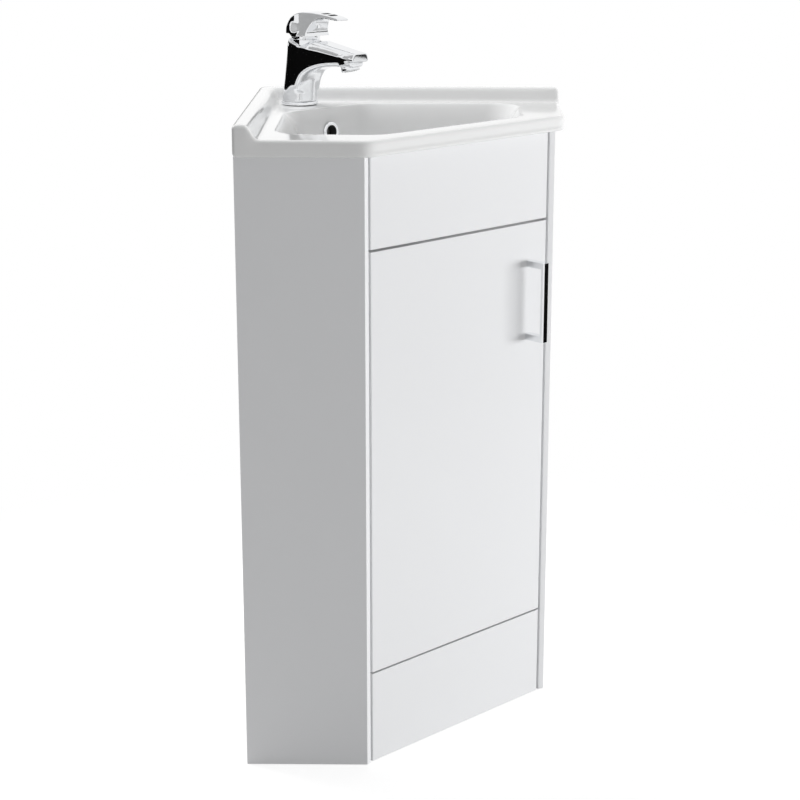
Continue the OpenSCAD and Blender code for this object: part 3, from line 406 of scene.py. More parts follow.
def solid(name, points, faces, finish, sharp=40):
    """A mesh from points in millimetres, with its faces pointing outwards."""
    mesh = bpy.data.meshes.new(name)
    faces = [[int(k) for k in face] for face in faces]
    mesh.from_pydata((np.asarray(points) / 1000).tolist(), [], faces)
    work = bmesh.new()
    work.from_mesh(mesh)
    bmesh.ops.remove_doubles(work, verts=work.verts, dist=0.000002)
    bmesh.ops.recalc_face_normals(work, faces=work.faces)
    work.to_mesh(mesh)
    work.free()
    mesh.shade_smooth()
    mesh.set_sharp_from_angle(angle=math.radians(sharp))
    mesh.materials.append(finish.material)
    return mesh


def turned(name, profile, finish, segments=64, at=(0, 0, 0), turn=None):
    """A solid turned on +Z from a closed outline of (radius, height)."""
    n = len(profile)
    angles = np.linspace(0, 2 * math.pi, segments, endpoint=False)
    points = np.array([(r * math.cos(a), r * math.sin(a), z) for a in angles for r, z in profile])
    if turn is not None:
        points = points @ np.array(turn).T
    faces = []
    for here in range(segments):
        there = (here + 1) % segments
        for i in range(n):
            j = (i + 1) % n
            if profile[i][0] > 0 or profile[j][0] > 0:
                faces.append((here * n + i, here * n + j, there * n + j, there * n + i))
    return solid(name, points + np.array(at), faces, finish)


def between(n):
    """Faces of a solid between two like outlines of n points."""
    sides = [(i, (i + 1) % n, n + (i + 1) % n, n + i) for i in range(n)]
    return [range(n), range(n, 2 * n)] + sides


def upright(name, outline, low, high, finish, taper=1.0):
    """A solid between two heights from an outline of (x, y), drawn in at the foot."""
    points = [(x * k, y * k, z) for z, k in ((low, taper), (high, 1)) for x, y in outline]
    return solid(name, points, between(len(outline)), finish)


def plain_mesh(piece):
    """The piece's mesh with its modifiers applied."""
    depsgraph = bpy.context.evaluated_depsgraph_get()
    return bpy.data.meshes.new_from_object(piece.evaluated_get(depsgraph))


def smoothed(mesh):
    """Shades a finished mesh smooth, with its real corners kept sharp."""
    mesh.shade_smooth()
    mesh.set_sharp_from_angle(angle=math.radians(35))


def worked(piece, operation, mesh):
    """Joins a mesh to the piece or cuts it away, and leaves a plain mesh."""
    tool = link("tool", mesh)
    step = piece.modifiers.new("step", "BOOLEAN")
    step.operation = operation
    step.solver = "EXACT"
    step.object = tool
    done = plain_mesh(piece)
    piece.modifiers.remove(step)
    piece.data = done
    bpy.data.objects.remove(tool)


def screw(head_r, head_h, top_r, shank_r, shank):
    """A screw on +Z: its head stands on z = 0 and its shank goes down."""
    profile = [
        (0, -shank), (0.3, -shank), (shank_r, -shank + 1.5 * shank_r), (shank_r, 0), (head_r, 0),
        (head_r, 0.2), (top_r + 0.2, head_h - 0.25), (top_r - 0.2, head_h), (0, head_h),
    ]
    made = link("screw", turned("screw", profile, zinc, 32))
    wide, long = 0.42, top_r * 0.62
    cross = [
        (wide, wide), (wide, long), (-wide, long), (-wide, wide), (-long, wide), (-long, -wide),
        (-wide, -wide), (-wide, -long), (wide, -long), (wide, -wide), (long, -wide), (long, wide),
    ]
    bottom = head_h - min(1.3, 0.8 * head_h)
    worked(made, "DIFFERENCE", upright("recess", cross, bottom, head_h + 0.5, zinc, 0.6))
    smoothed(made.data)
    return made


def node_tree(name, sockets):
    """An empty Geometry Nodes tree with named inputs and one result."""
    tree = bpy.data.node_groups.new(name, "GeometryNodeTree")
    for title, kind in sockets.items():
        tree.interface.new_socket(title, in_out="INPUT", socket_type="NodeSocket" + kind)
    tree.interface.new_socket("Geometry", in_out="OUTPUT", socket_type="NodeSocketGeometry")
    return tree, tree.nodes.new("NodeGroupInput").outputs, tree.nodes.new("NodeGroupOutput").inputs


def wired(tree, kind, links, **settings):
    """A node with its settings, and with a socket or a number on each named input."""
    node = tree.nodes.new(kind)
    for key, value in settings.items():
        setattr(node, key, value)
    for key, value in links.items():
        if isinstance(value, bpy.types.NodeSocket):
            tree.links.new(value, node.inputs[key])
        else:
            node.inputs[key].default_value = value
    return node.outputs


def grown(name, base, tree, values):
    """Runs a tree on a base mesh and returns the result as a plain object."""
    carrier = link(name, base)
    modifier = carrier.modifiers.new("tree", "NODES")
    modifier.node_group = tree
    for item in tree.interface.items_tree:
        if item.in_out == "INPUT" and item.name in values:
            modifier[item.identifier] = values[item.name]
    bpy.context.view_layer.update()
    done = plain_mesh(carrier)
    carrier.modifiers.remove(modifier)
    carrier.data = done
    return carrier


set_in_place, given, result = node_tree(
    "set_in_place",
    {
        "Geometry": "Geometry", "Screw": "Object", "Places": "Object", "Turn": "Rotation",
        "Finish": "Material",
    },
)
screw_seen = wired(set_in_place, "GeometryNodeObjectInfo", {"Object": given["Screw"]})
places_seen = wired(set_in_place, "GeometryNodeObjectInfo", {"Object": given["Places"]})
screws_set = wired(
    set_in_place,
    "GeometryNodeInstanceOnPoints",
    {
        "Points": places_seen["Geometry"], "Instance": screw_seen["Geometry"],
        "Rotation": given["Turn"],
    },
)
screws_real = wired(
    set_in_place, "GeometryNodeRealizeInstances", {"Geometry": screws_set["Instances"]}
)
screws_done = wired(
    set_in_place, "GeometryNodeSetMaterial",
    {"Geometry": screws_real["Geometry"], "Material": given["Finish"]},
)
set_in_place.links.new(screws_done["Geometry"], result["Geometry"])

ROOT_2 = math.sqrt(2)
DOOR_EDGE = -155.877
DOOR_FACE = -171.041
DOOR_BACK = -155.041
HANDLE_X = 123.877
HANDLE_HOLES = (507.5, 603.5)
HINGES = (211.5, 565.5)
CUP_X = DOOR_EDGE + 32
PLATE_FOOT = (-188.575, -130.43)  # on the left panel's inner face
ARM_FOOT = (-194.232, -124.773)
BLOCK_X = 138.877
BLOCK_HEIGHTS = (47, 714.25)
to_back = Matrix.Rotation(-math.pi / 2, 3, "X")
off_panel = Matrix.Rotation(-math.pi / 4, 3, "Z") @ to_back


def above_panel(foot, height, z):
    """A place at a height off the left panel's inner face."""
    return (foot[0] + height / ROOT_2, foot[1] + height / ROOT_2, z)


# name, turn, places, then the screw: head radius and height, radius of the
# head's top, shank radius and length
for name, turn, places, shape in (
    (
        "handle_screws", to_back,
        [(HANDLE_X, DOOR_BACK + 0.1, z) for z in HANDLE_HOLES],
        (4, 2.4, 3, 2, 26),
    ),
    (
        "hinge_plate_screws", off_panel,
        [above_panel(PLATE_FOOT, 2.6, z + k) for z in HINGES for k in (-16, 16)],
        (4, 1.6, 3, 2.5, 13.5),
    ),
    (
        "hinge_arm_screws", off_panel,
        [above_panel(ARM_FOOT, 14.1, z) for z in HINGES],
        (3.6, 1.8, 3.3, 2, 12),
    ),
    (
        "hinge_cup_screws", to_back,
        [(CUP_X, DOOR_FACE + 17.05, z + k) for z in HINGES for k in (-22.5, 22.5)],
        (3.2, 1.2, 2.4, 1.8, 11),
    ),
    (
        "block_screws", to_back,
        [(x, DOOR_BACK + 11.15, z) for x in (-BLOCK_X, BLOCK_X) for z in BLOCK_HEIGHTS],
        (4, 2, 3, 2, 11),
    ),
):
    spots = bpy.data.meshes.new(name)
    spots.from_pydata((np.array(places) / 1000).tolist(), [], [])
    spots, pattern = link(name + "_places", spots), screw(*shape)
    screws = grown(
        name + "_set", bpy.data.meshes.new(name), set_in_place,
        {
            "Screw": pattern, "Places": spots, "Turn": tuple(turn.to_euler()),
            "Finish": zinc.material,
        },
    )
    smoothed(screws.data)
    for helper in (spots, pattern):
        bpy.data.objects.remove(helper)
    stand_for(name, screws)

# ---- Basin -------------------------------------------------------------------
# One piece of white glazed china: a deck with a raised edge along both walls,
# a six-sided bowl and a duct behind the overflow. Its rings are cut by rays
# from the middle of the waste; x is across, d forward from the room corner.

CORNER_Y = 208.49675
FRONT = 394.338
WASTE = FRONT - 141.5
CABINET_TOP = 770.0
DECK = 791.0
LEG = 400.0  # along each wall
RIM = {"wall": 44.0, "back": 132.0, "side": 55.0, "front": 30.0}
BOWL_DEPTH = 105
BOWL_FLOOR = DECK - BOWL_DEPTH
WASTE_HOLE = 22.5
TAP = np.array([0, CORNER_Y - 80, DECK])


def on_wall(along, out):
    """The (x, d) of a point along the wall and out from it."""
    return ((along - out) / ROOT_2, (along + out) / ROOT_2)


def outline_discs(inset):
    """Discs at the corners of the basin's plan: middle and radius."""
    front_x = (LEG - 25 - inset) * ROOT_2 - (FRONT - 25 - inset)
    return [
        ((0, (18 + inset) * ROOT_2), 18),
        (on_wall(LEG - 4 - inset, 4 + inset), 4),
        ((front_x, FRONT - 25 - inset), 25),
    ]


def bowl_discs(inset):
    """Discs at the corners of the bowl's plan."""
    r_back, r_tip, r_front = (max(18, r - inset / 2) for r in (45, 38, 60))
    back = RIM["back"] + 0.5 * inset + r_back
    front = FRONT - RIM["front"] - inset - r_front
    side = LEG - RIM["side"] - inset
    return [
        ((back - (RIM["wall"] + inset + r_back) * ROOT_2, back), r_back),
        (on_wall(side - r_tip, RIM["wall"] + inset + r_tip), r_tip),
        (((side - r_front) * ROOT_2 - front, front), r_front),
    ]


def round_discs(radius):
    return [((0, WASTE), radius)]


# The rays stand closer where the outline bends sharply
wall_end = on_wall(LEG, 0)
end_turn = math.atan2(wall_end[0], wall_end[1] - WASTE)
turns = np.concatenate([
    np.linspace(0, math.pi, 150, endpoint=False),
    end_turn + np.linspace(-0.03, 0.16, 60),
    np.linspace(math.pi - 0.15, math.pi, 20),
    np.linspace(1.15, 1.8, 50),
])
turns = np.unique(np.concatenate([turns, 2 * math.pi - turns]) % (2 * math.pi))
rays = np.stack([np.sin(turns), np.cos(turns)], 1)
facing = np.linspace(0, 2 * math.pi, 1440, endpoint=False)
normals = np.stack([np.sin(facing), np.cos(facing)], 1)
slant = rays @ normals.T


def reach(discs):
    """How far each ray goes from the waste to the outline round the discs."""
    middles = np.array([(sign * x, d - WASTE) for (x, d), r in discs for sign in (1, -1)])
    radii = np.array([r for _, r in discs for _ in (0, 1)])
    support = (middles @ normals.T + radii[:, None]).max(0)
    return np.where(slant > 0.05, support[None, :] / np.maximum(slant, 0.05), 1e9).min(1)


# Section of the raised edge: distance from the wall and height over the deck
STEEP = 29
HOLLOW = 9  # radius at its foot
hump = arc_points(12.5, 9.5, 8, 90, STEEP, 7)
drop = hump[-1][1] - HOLLOW * (1 - math.sin(math.radians(STEEP)))
foot = hump[-1][0] + drop * math.tan(math.radians(STEEP)) + HOLLOW * math.cos(math.radians(STEEP))
section = np.array([(-20, 17.5)] + hump + arc_points(foot, HOLLOW, HOLLOW, 180 + STEEP, 270, 8))


def deck_fall(d):
    """How far the deck has sunk towards the front."""
    return 1.4 * np.clip((d - 210) / 180, 0, 1) ** 2


def deck_height(x, d):
    """Height of the glazed top at a point, with the raised edge along the walls."""
    soft = 4.0
    near = -soft * np.log(np.exp(-(d - x) / ROOT_2 / soft) + np.exp(-(d + x) / ROOT_2 / soft))
    return DECK - deck_fall(d) + np.interp(near, section[:, 0], section[:, 1])


china_rings = []


def add_ring(distance, height):
    """A ring of points at a distance on each ray, with one height or a height by place."""
    x = rays[:, 0] * distance
    d = WASTE + rays[:, 1] * distance
    z = height(x, d) if callable(height) else np.full(len(x), float(height))
    china_rings.append(np.stack([x, CORNER_Y - d, z], 1))


WALL = 8
bowl_profile = [  # how far in from the rim, and how far down
    (-6, 0), (-2.4, 0.05), (-1.0, 0.25), (0.3, 0.9), (1.6, 2.0), (3.4, 4.0), (5.6, 6.9),
    (8.0, 10.4), (10.6, 14.8), (13.2, 20), (15, 25), (16.8, 31), (18.8, 43), (21, 56),
    (23.6, 68), (27, 79), (31.5, 87), (38, 93.6), (46, 98.2), (56, 101.5), (68, 103.6),
]
# the bowl, from the waste up to its rim
add_ring(reach(round_discs(WASTE_HOLE)), BOWL_FLOOR)
add_ring(reach(round_discs(24)), BOWL_FLOOR)
for inset, down in reversed(bowl_profile):
    add_ring(reach(bowl_discs(inset)), lambda x, d, down=down: DECK - down - deck_fall(d))
# the deck, from the rim out to the raised edge
rim_reach = reach(bowl_discs(-6))
inner_reach = reach(outline_discs(22))
for share in (0.15, 0.3, 0.45):
    add_ring(rim_reach * (1 - share) + inner_reach * share, deck_height)
for inset, share in ((32, 0.5), (29.5, 0.625), (27, 0.75), (24.5, 0.875)):
    part_way = rim_reach * (1 - share) + inner_reach * share
    add_ring(np.maximum(reach(outline_discs(inset)), part_way), deck_height)
for inset in (22, 20, 18, 16, 14, 12, 10, 8, 6.5):
    add_ring(reach(outline_discs(inset)), deck_height)
# the rounded outer edge, the side and the foot that stands on the cabinet
EDGE = 5.0
for lean in np.radians([90, 72, 54, 36, 18, 0]):
    inset, down = EDGE * (1 - math.cos(lean)), EDGE * (1 - math.sin(lean))
    add_ring(reach(outline_discs(inset)), lambda x, d, down=down: deck_height(x, d) - down)
for height, inset in ((6, 0), (3.5, 0.3), (1.6, 1.2), (0.4, 2.4), (0, 4), (0, 24)):
    add_ring(reach(outline_discs(inset)), CABINET_TOP + height)
add_ring(reach(outline_discs(27)), CABINET_TOP + 10)
add_ring(reach(outline_discs(29)), CABINET_TOP + 10.5)
# the underside of the bowl, and the boss round the waste
for inset, down in bowl_profile[8:]:
    add_ring(reach(bowl_discs(inset - WALL)), DECK - down - 10 * (down / BOWL_DEPTH) ** 2)
for radius, height in (
    (36, -10), (36, -24), (36, -37), (35, -38), (23.5, -38),
    (WASTE_HOLE, -37), (WASTE_HOLE, -6), (WASTE_HOLE, -1),
):
    add_ring(reach(round_discs(radius)), BOWL_FLOOR + height)

china = Finish("glazed_china", roughness=0.1, coat_weight=0.5, coat_roughness=0.04)
china.set(
    "Base Color", china.blend(china.noise(2.5, 2), (0.835, 0.84, 0.842), (0.862, 0.864, 0.862))
)
china.set("Roughness", 0.08 + 0.06 * china.noise(7, 2))
china.bump(china.noise(11, 2), 0.00025)
basin_faces = []
count = len(turns)
for k in range(len(china_rings)):
    here, there = k * count, (k + 1) % len(china_rings) * count
    for i in range(count):
        j = (i + 1) % count
        basin_faces.append((here + i, here + j, there + j, there + i))
basin = link("basin_china", solid("basin_china", np.concatenate(china_rings), basin_faces, china))


def prism(name, outline, half):
    """A solid of china across the plane x = 0, from an outline of (d, height)."""
    points = [(side * half, CORNER_Y - d, z) for side in (-1, 1) for d, z in outline]
    return solid(name, points, between(len(outline)), china)


def duct(t):
    """The overflow's way down the back of the bowl, t behind its glazed face."""
    return [
        (139.75 - t, 770), (143 - t, 731 - t / 5), (147 - t, 706 - t / 3),
        (155 - 0.7 * t, 693 - 0.7 * t), (167 - 0.3 * t, BOWL_FLOOR - t), (WASTE, BOWL_FLOOR - t),
    ]


TILT = math.atan(0.5 * 6.5 / 39)  # of the bowl's back wall at the overflow
OVERFLOW = (0, CORNER_Y - 140.58, DECK - 31)
out_of_wall = Matrix.Rotation(math.pi / 2 - TILT, 3, "X")
duct_outside = [(134, 781)] + duct(4) + duct(23)[::-1] + [(116.75, 781)]
duct_inside = [(131.75, 771)] + duct(8) + duct(17)[::-1] + [(122.75, 771)]
overflow_bore = [(0, -11), (9, -11), (9, 5), (0, 5)]
mixer_bore = [(0, -16), (17.5, -16), (17.5, 8), (0, 8)]
for operation, mesh in (
    ("UNION", prism("duct_outside", duct_outside, 18)),
    ("DIFFERENCE", prism("duct_inside", duct_inside, 12)),
    ("DIFFERENCE", turned("overflow_hole", overflow_bore, china, 64, OVERFLOW, out_of_wall)),
    ("DIFFERENCE", turned("mixer_hole", mixer_bore, china, 64, TAP)),
):
    worked(basin, operation, mesh)
smoothed(basin.data)
stand_for("basin", basin)

# ---- Overflow ring -------------------------------------------------------------
# A chromed ring on the bowl's back wall. Its black rubber sleeve grips the
# hole and leads into the duct. The sleeve's black is painted shade: it stands
# for the darkness deep in the hole, where little light gets in.


def turned_piece(name, profile, finish, segments, at, turn=None):
    """A turned solid as an object."""
    return link(name, turned(name, profile, finish, segments, at, turn))


ring_profile = [(8.3, 0.1), (13.2, 0.1)] + arc_points(11.5, 0.9, 1.7, 0, 90, 7)
ring_profile += [(10, 2.5), (8.9, 2.2), (8.3, 1.2)]
overflow_ring = turned_piece(
    "overflow_ring_bright", ring_profile, chrome, 72, OVERFLOW, out_of_wall
)
stand_for("overflow_ring", overflow_ring)

rubber = Finish("black_rubber", roughness=0.75)
rubber.set(
    "Base Color", rubber.blend(rubber.noise(150, 3), (0.016, 0.016, 0.016), (0.035, 0.035, 0.034))
)
rubber.set("Roughness", 0.65 + 0.2 * rubber.noise(300, 3))
# painted shade: the black sleeve lines the overflow hole to darken it
shade_sleeve_outline = [(8.1, -12), (8.6, -12), (8.9, -7), (8.9, 0.6), (8.1, 0.6)]
overflow_sleeve = turned_piece(
    "overflow_sleeve", shade_sleeve_outline, rubber, 72, OVERFLOW, out_of_wall
)
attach(overflow_sleeve, frame["nodes"]["overflow_ring"]["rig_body"])

# ---- Mixer body ----------------------------------------------------------------
# A hollow brass casting, polished and chromed. It leans forward, and its spout
# is a flat band over a curved neck. The field is in millimetres: x across,
# u forward from the middle of the base, w up from the deck.


def smooth_min(a, b, blend):
    """The lower of two distances, with a soft join as wide as the blend."""
    near = np.maximum(blend - np.abs(a - b), 0) / blend
    return np.minimum(a, b) - near**3 * blend / 6


def smooth_max(a, b, blend):
    return -smooth_min(-a, -b, blend)


def rod(p, foot, axis, radius, low, high, blend=0.8):
    """Distance to a round rod or hole along an axis, with softened edges."""
    axis = np.array(axis, float) / np.linalg.norm(axis)
    q = p - np.array(foot, float)
    along = q @ axis
    out = np.linalg.norm(q - along[:, None] * axis, axis=1)
    return smooth_max(out - radius, np.abs(along - (low + high) / 2) - (high - low) / 2, blend)


def skin(distance, low, high, step):
    """Points and quads of the surface on which a distance field is zero."""
    axes = [np.arange(a, b + step, step) for a, b in zip(low, high)]
    grid = np.stack(np.meshgrid(*axes, indexing="ij"), -1)
    field = distance(grid.reshape(-1, 3)).reshape(grid.shape[:3])
    inside = field < 0
    cells = np.array(inside.shape) - 1
    total = np.zeros((*cells, 3))
    hits = np.zeros(cells)
    ends = [slice(None, -1), slice(1, None)]
    quads = []
    for axis in range(3):
        a, b = (tuple([slice(None)] * axis + [end] + [slice(None)] * (2 - axis)) for end in ends)
        crossed = inside[a] != inside[b]
        share = np.where(crossed, field[a] / np.where(crossed, field[a] - field[b], 1), 0)
        cut = (grid[a] + (grid[b] - grid[a]) * share[..., None]) * crossed[..., None]
        one, two = (k for k in range(3) if k != axis)
        for i in (0, 1):
            for j in (0, 1):
                # the cells that share an edge lie one back along each other axis
                of = [slice(None)] * 3
                of[one], of[two] = slice(i, i + cells[one]), slice(j, j + cells[two])
                total += cut[tuple(of)]
                hits += crossed[tuple(of)]
    full = hits > 0
    number = np.full(cells, -1)
    number[full] = np.arange(full.sum())
    points = total[full] / hits[full][:, None]
    for axis in range(3):
        a, b = (tuple([slice(None)] * axis + [end] + [slice(None)] * (2 - axis)) for end in ends)
        at = np.argwhere(inside[a] != inside[b])
        one, two = (axis + 1) % 3, (axis + 2) % 3
        corners = []
        for i, j in ((1, 1), (0, 1), (0, 0), (1, 0)):
            corner = at.copy()
            corner[:, one] -= i
            corner[:, two] -= j
            corners.append(number[tuple(corner.T)])
        quads.append(np.stack(corners, 1))
    for _ in range(4):
        slope = np.stack(
            [
                (distance(points + 0.02 * way) - distance(points - 0.02 * way)) / 0.04
                for way in np.eye(3)
            ],
            1,
        )
        points = points - (distance(points) / np.maximum((slope**2).sum(1), 0.05))[:, None] * slope
    return points, np.concatenate(quads)


LEAN = 14.0  # how far the top of the trunk stands forward of its foot
BODY_TOP = 86.0
SEAT_DEPTH = 7  # of the collar in the body's top
OUTLET = (0, 98, 58)
OUTLET_TILT = math.radians(15)
outlet_up = (0, -math.sin(OUTLET_TILT), math.cos(OUTLET_TILT))


def flowing(points, steps=6):
    """A smooth line through the points."""
    line = np.array(points, float)
    line = np.vstack([2 * line[0] - line[1], line, 2 * line[-1] - line[-2]])
    made = []
    for a, b, c, d in zip(line, line[1:], line[2:], line[3:]):
        bend, twist = 2 * a - 5 * b + 4 * c - d, 3 * b - a - 3 * c + d
        for t in np.arange(steps) / steps:
            made.append(0.5 * (2 * b + (c - a) * t + bend * t**2 + twist * t**3))
    return np.array(made + [line[-2]])


def outline_distance(q, outline):
    """Distance in a plane to a closed outline, negative inside it."""
    best = np.full(len(q), 1e9)
    sign = np.ones(len(q))
    for a, b in zip(outline, np.roll(outline, -1, axis=0)):
        edge, to = b - a, q - a
        share = np.clip((to @ edge) / (edge @ edge), 0, 1)
        best = np.minimum(best, ((to - share[:, None] * edge) ** 2).sum(1))
        tests = np.stack([q[:, 1] >= a[1], q[:, 1] < b[1], edge[0] * to[:, 1] > edge[1] * to[:, 0]])
        sign = np.where(tests.all(0) | ~tests.any(0), -sign, sign)
    return sign * np.sqrt(best)


under_neck = [
    (19, 20), (21.5, 29), (26, 36.8), (33, 43), (42, 47.6), (52, 50.8), (62, 52.9), (82, 55),
    (112, 56.5),
]
over_neck = [(112, 70), (90, 72), (60, 76.5), (30, 80), (0, 80), (0, 20)]
neck_side = np.vstack([flowing(under_neck, 3), over_neck])

# Measures of the body: the places, then the measure there. The trunk's go by
# the height w, and all others by the reach u.
trunk_radius = ([0, 6, 16, 34, 60, 86], [23.4, 22.9, 22.0, 21.5, 22.0, 22.4])
neck_half = (
    [0, 14, 22, 31, 42, 55, 70, 100, 118],
    [21.6, 22.0, 21.6, 20.2, 18.6, 17.2, 16.2, 14.4, 13.6],
)
spout_top = ([-30, 30, 46, 73, 118, 140], [86.5, 86.3, 84.8, 80.9, 74.2, 71])
spout_half = ([0, 30, 60, 118], [20.5, 19.5, 17.0, 14.0])
spout_thick = ([0, 40, 118], [15, 14, 11.5])
chamfer = ([25, 40, 58, 84, 104, 118], [0.6, 4.2, 3.9, 4.0, 4.2, 3.0])
scoop_share = ([-6, 8, 22, 34, 46], [0, 0.45, 1, 1, 0])


def body_field(p):
    """Distance to the casting: trunk, neck and spout, less the scoop and the bores."""
    x, u, w = p.T
    middle = LEAN * np.clip((w - 5) / 81, 0, 1.1) ** 1.15
    trunk = 0.985 * (np.hypot(x, u - middle) - np.interp(w, *trunk_radius))
    neck_wide = np.abs(x) - np.interp(u, *neck_half)
    neck = smooth_max(outline_distance(p[:, 1:], neck_side), neck_wide, 13)
    top, half, thick = (np.interp(u, *table) for table in (spout_top, spout_half, spout_thick))
    across, level = np.abs(x) - half + 3, np.abs(w - top + thick / 2) - thick / 2 + 3
    band = np.hypot(np.maximum(across, 0), np.maximum(level, 0))
    band = band + np.minimum(np.maximum(across, level), 0) - 3
    shoulder = 0.9 * (np.abs(x) - half) + 0.44 * (w - top) + np.interp(u, *chamfer)
    band = smooth_max(band, shoulder, 3.5)
    tip = (u - 118.2) - 0.12 * (w - 68)
    band = smooth_max(smooth_max(band, tip, 2.0), 8 - u, 2)
    form = smooth_min(trunk, smooth_min(band, neck, 5), 6)
    form = smooth_max(form, tip, 2.0)
    scoop = 8.0 * np.clip(np.abs(x) / 18, 0, 1) ** 1.6 * np.interp(u, *scoop_share)
    form = smooth_max(form, w - np.where(u > 20, top, BODY_TOP + 1.2) + scoop, 1.6)
    form = smooth_max(form, 5.1 - w, 1.0)
    form = smooth_min(form, rod(p, OUTLET, outlet_up, 14.6, 0.3, 13), 2)
    form = smooth_min(form, rod(p, (0, 0, 0), (0, 0, 1), 16.3, 2, 9), 0.6)
    for hole in (
        # the cartridge's bore and the collar's seat
        rod(p, (0, LEAN, BODY_TOP), (0, 0, 1), 17.6, -30, 9),
        rod(p, (0, LEAN, BODY_TOP), (0, 0, 1), 19.1, -SEAT_DEPTH, 9),
        # the outlet's socket
        rod(p, OUTLET, outlet_up, 12.4, -20, 3),
        rod(p, OUTLET, outlet_up, 10.1, -20, 8),
        # two inlets and the stud's hole in the foot
        rod(p, (9.5, 6, 0), (0, 0, 1), 3.9, -4, 14),
        rod(p, (-9.5, 6, 0), (0, 0, 1), 3.9, -4, 14),
        rod(p, (0, -10, 0), (0, 0, 1), 4.05, -4, 15),
    ):
        form = smooth_max(form, -hole, 0.8)
    return form


def at_tap(points):
    """Points of (x, u, w) in the frame of the unit."""
    return np.array(points) * (1, -1, 1) + TAP


points, faces = skin(body_field, (-27, -28, 0), (27, 122, 90), 0.8)
body = link("mixer_body_cast", solid("mixer_body_cast", at_tap(points), faces, chrome))
stand_for("tap_body", body)

# ---- Base ring and collar ------------------------------------------------------
# The base ring is chromed and carries the body on the deck. The collar screws
# into the body's top and holds the cartridge down.

base_ring = [(16.5, 0.8), (24, 0.8)] + arc_points(22, 3, 2, 0, 90, 6) + [(16.5, 5)]
base = turned_piece("mixer_base_bright", base_ring, chrome, 96, TAP)
stand_for("tap_base_ring", base)

collar_profile = [
    (14.6, 0), (19, 0), (19, 6.6), (18.6, 7), (18.8, 7.3), (18.8, 12.4), (18.2, 13), (14.6, 13),
]
collar_foot = at_tap((0, LEAN, BODY_TOP - SEAT_DEPTH + 0.1))
collar = turned_piece("mixer_collar", collar_profile, chrome, 96, collar_foot)
stand_for("cartridge_nut", collar)

# ---- Outlet -----------------------------------------------------------------
# A chromed sleeve that screws into the spout, with a plastic mesh insert.

outlet_turn = Matrix.Rotation(-OUTLET_TILT, 3, "X")
sleeve_profile = [(8.5, -8), (11, -8)] + arc_points(11, -7, 1, -90, 0, 4)[1:]
sleeve_profile += [
    (12, -3.2), (11.7, -2.8), (11.7, -2.4), (12, -2), (12, 2.9), (10, 2.9), (10, 7.5), (8.5, 7.5),
]
sleeve = turned_piece("outlet_sleeve", sleeve_profile, chrome, 72, at_tap(OUTLET), outlet_turn)
stand_for("aerator_housing", sleeve)

white_plastic = Finish("white_plastic", roughness=0.42)
white_plastic.set(
    "Base Color",
    white_plastic.blend(white_plastic.noise(30, 2), (0.76, 0.76, 0.75), (0.82, 0.82, 0.81)),
)
white_plastic.set("Roughness", 0.38 + 0.14 * white_plastic.noise(90, 3))
white_plastic.bump(white_plastic.noise(500, 2), 0.00006)
eased("aerator_insert", white_plastic)

# ---- Lever --------------------------------------------------------------------
# One chromed casting: a hood over the cartridge, and a band that runs forward
# to the fingers, with dark inlays in two slots across it. In the field, v is
# forward and h is up from the middle of the collar.

COLLAR = 93.0
over = [
    (-22.4, -5), (-22.4, 5), (-20.6, 11), (-17, 17), (-11, 22.2), (-3, 26), (6, 27.8),
    (18, 28.2), (32, 27.6), (50, 26.0), (66, 23.6), (73.5, 21.9),
]
under = [
    (73.8, 20.2), (66, 19.9), (50, 21.3), (38, 20.4), (31, 17.2), (26, 11), (22.7, 4), (22.4, -5),
]
side_view = np.vstack([flowing(over), flowing(under)])
MARKS = ((40, 26.9), (52, 25.75))

# The band's half width, its lean and the height from which it leans, then the
# hood's lower edge, which stays clear of the collar and the body when lifted
band_half = ([-24, -6, 24, 44, 60, 70, 76], [14.5, 15.2, 13.2, 11.4, 9.8, 8.4, 6.2])
band_lean = ([-14, -6, 6], [0.04, 0.14, 0.32])
lean_from = ([-20, 10, 70], [12, 22, 22])
hood_edge = ([-15, -9, -6, -3, 3, 6, 9, 12], [-0.4, -1.2, -2.4, -3.6, -4.0, -3.2, -2.2, -2.4])


def block(p, centre, half, blend):
    """Distance to a block, with softened edges."""
    d = np.abs(p - np.array(centre, float)) - np.array(half, float)
    return smooth_max(smooth_max(d[:, 0], d[:, 1], blend), d[:, 2], blend)


def lever_field(p):
    """Distance to the casting: hood and band, less the hollow, the bores and the slots."""
    p = p - np.array([0, LEAN, COLLAR])
    x, v, h = p.T
    up = np.maximum(h - 3, 0)
    egg = np.sqrt((x / 21.6) ** 2 + (v / 21.9) ** 2 + (up / 21.8) ** 2)
    slope = np.sqrt((x / 21.6**2) ** 2 + (v / 21.9**2) ** 2 + (up / 21.8**2) ** 2)
    hood = egg * (egg - 1) / np.maximum(slope, 1e-6)
    hood = smooth_max(hood, 0.883 * np.abs(x) + 0.469 * h - 20.1, 1.5)
    leaning = np.interp(v, *band_lean) * (h - np.interp(v, *lean_from))
    cheek = 0.96 * (np.abs(x) - np.interp(v, *band_half) + leaning)
    band = smooth_max(outline_distance(p[:, 1:], side_view), cheek, 1.6)
    form = smooth_max(smooth_min(hood, band, 1.2), np.interp(v, *hood_edge) - h, 0.8)
    for hole in (
        smooth_max(np.hypot(x, v) - 20.3 + 0.95 * np.maximum(h, 0), h - 8, 0.8),
        block(p, (0, 0, 10), (3.1, 3.1, 2.1), 0.2),
        rod(p, (0, 0, 10), (0, 1, 0), 2.55, 0, 60, 0.3),
        *(block(p, (0, reach_v, 29), (6, 3.5, 4), 0.6) for reach_v, _ in MARKS),
    ):
        form = smooth_max(form, -hole, 0.6)
    return form


points, faces = skin(lever_field, (-24, -10, 86), (24, 93, 123), 0.65)
lever = link("lever_cast", solid("lever_cast", at_tap(points), faces, chrome))
stand_for("lever", lever)

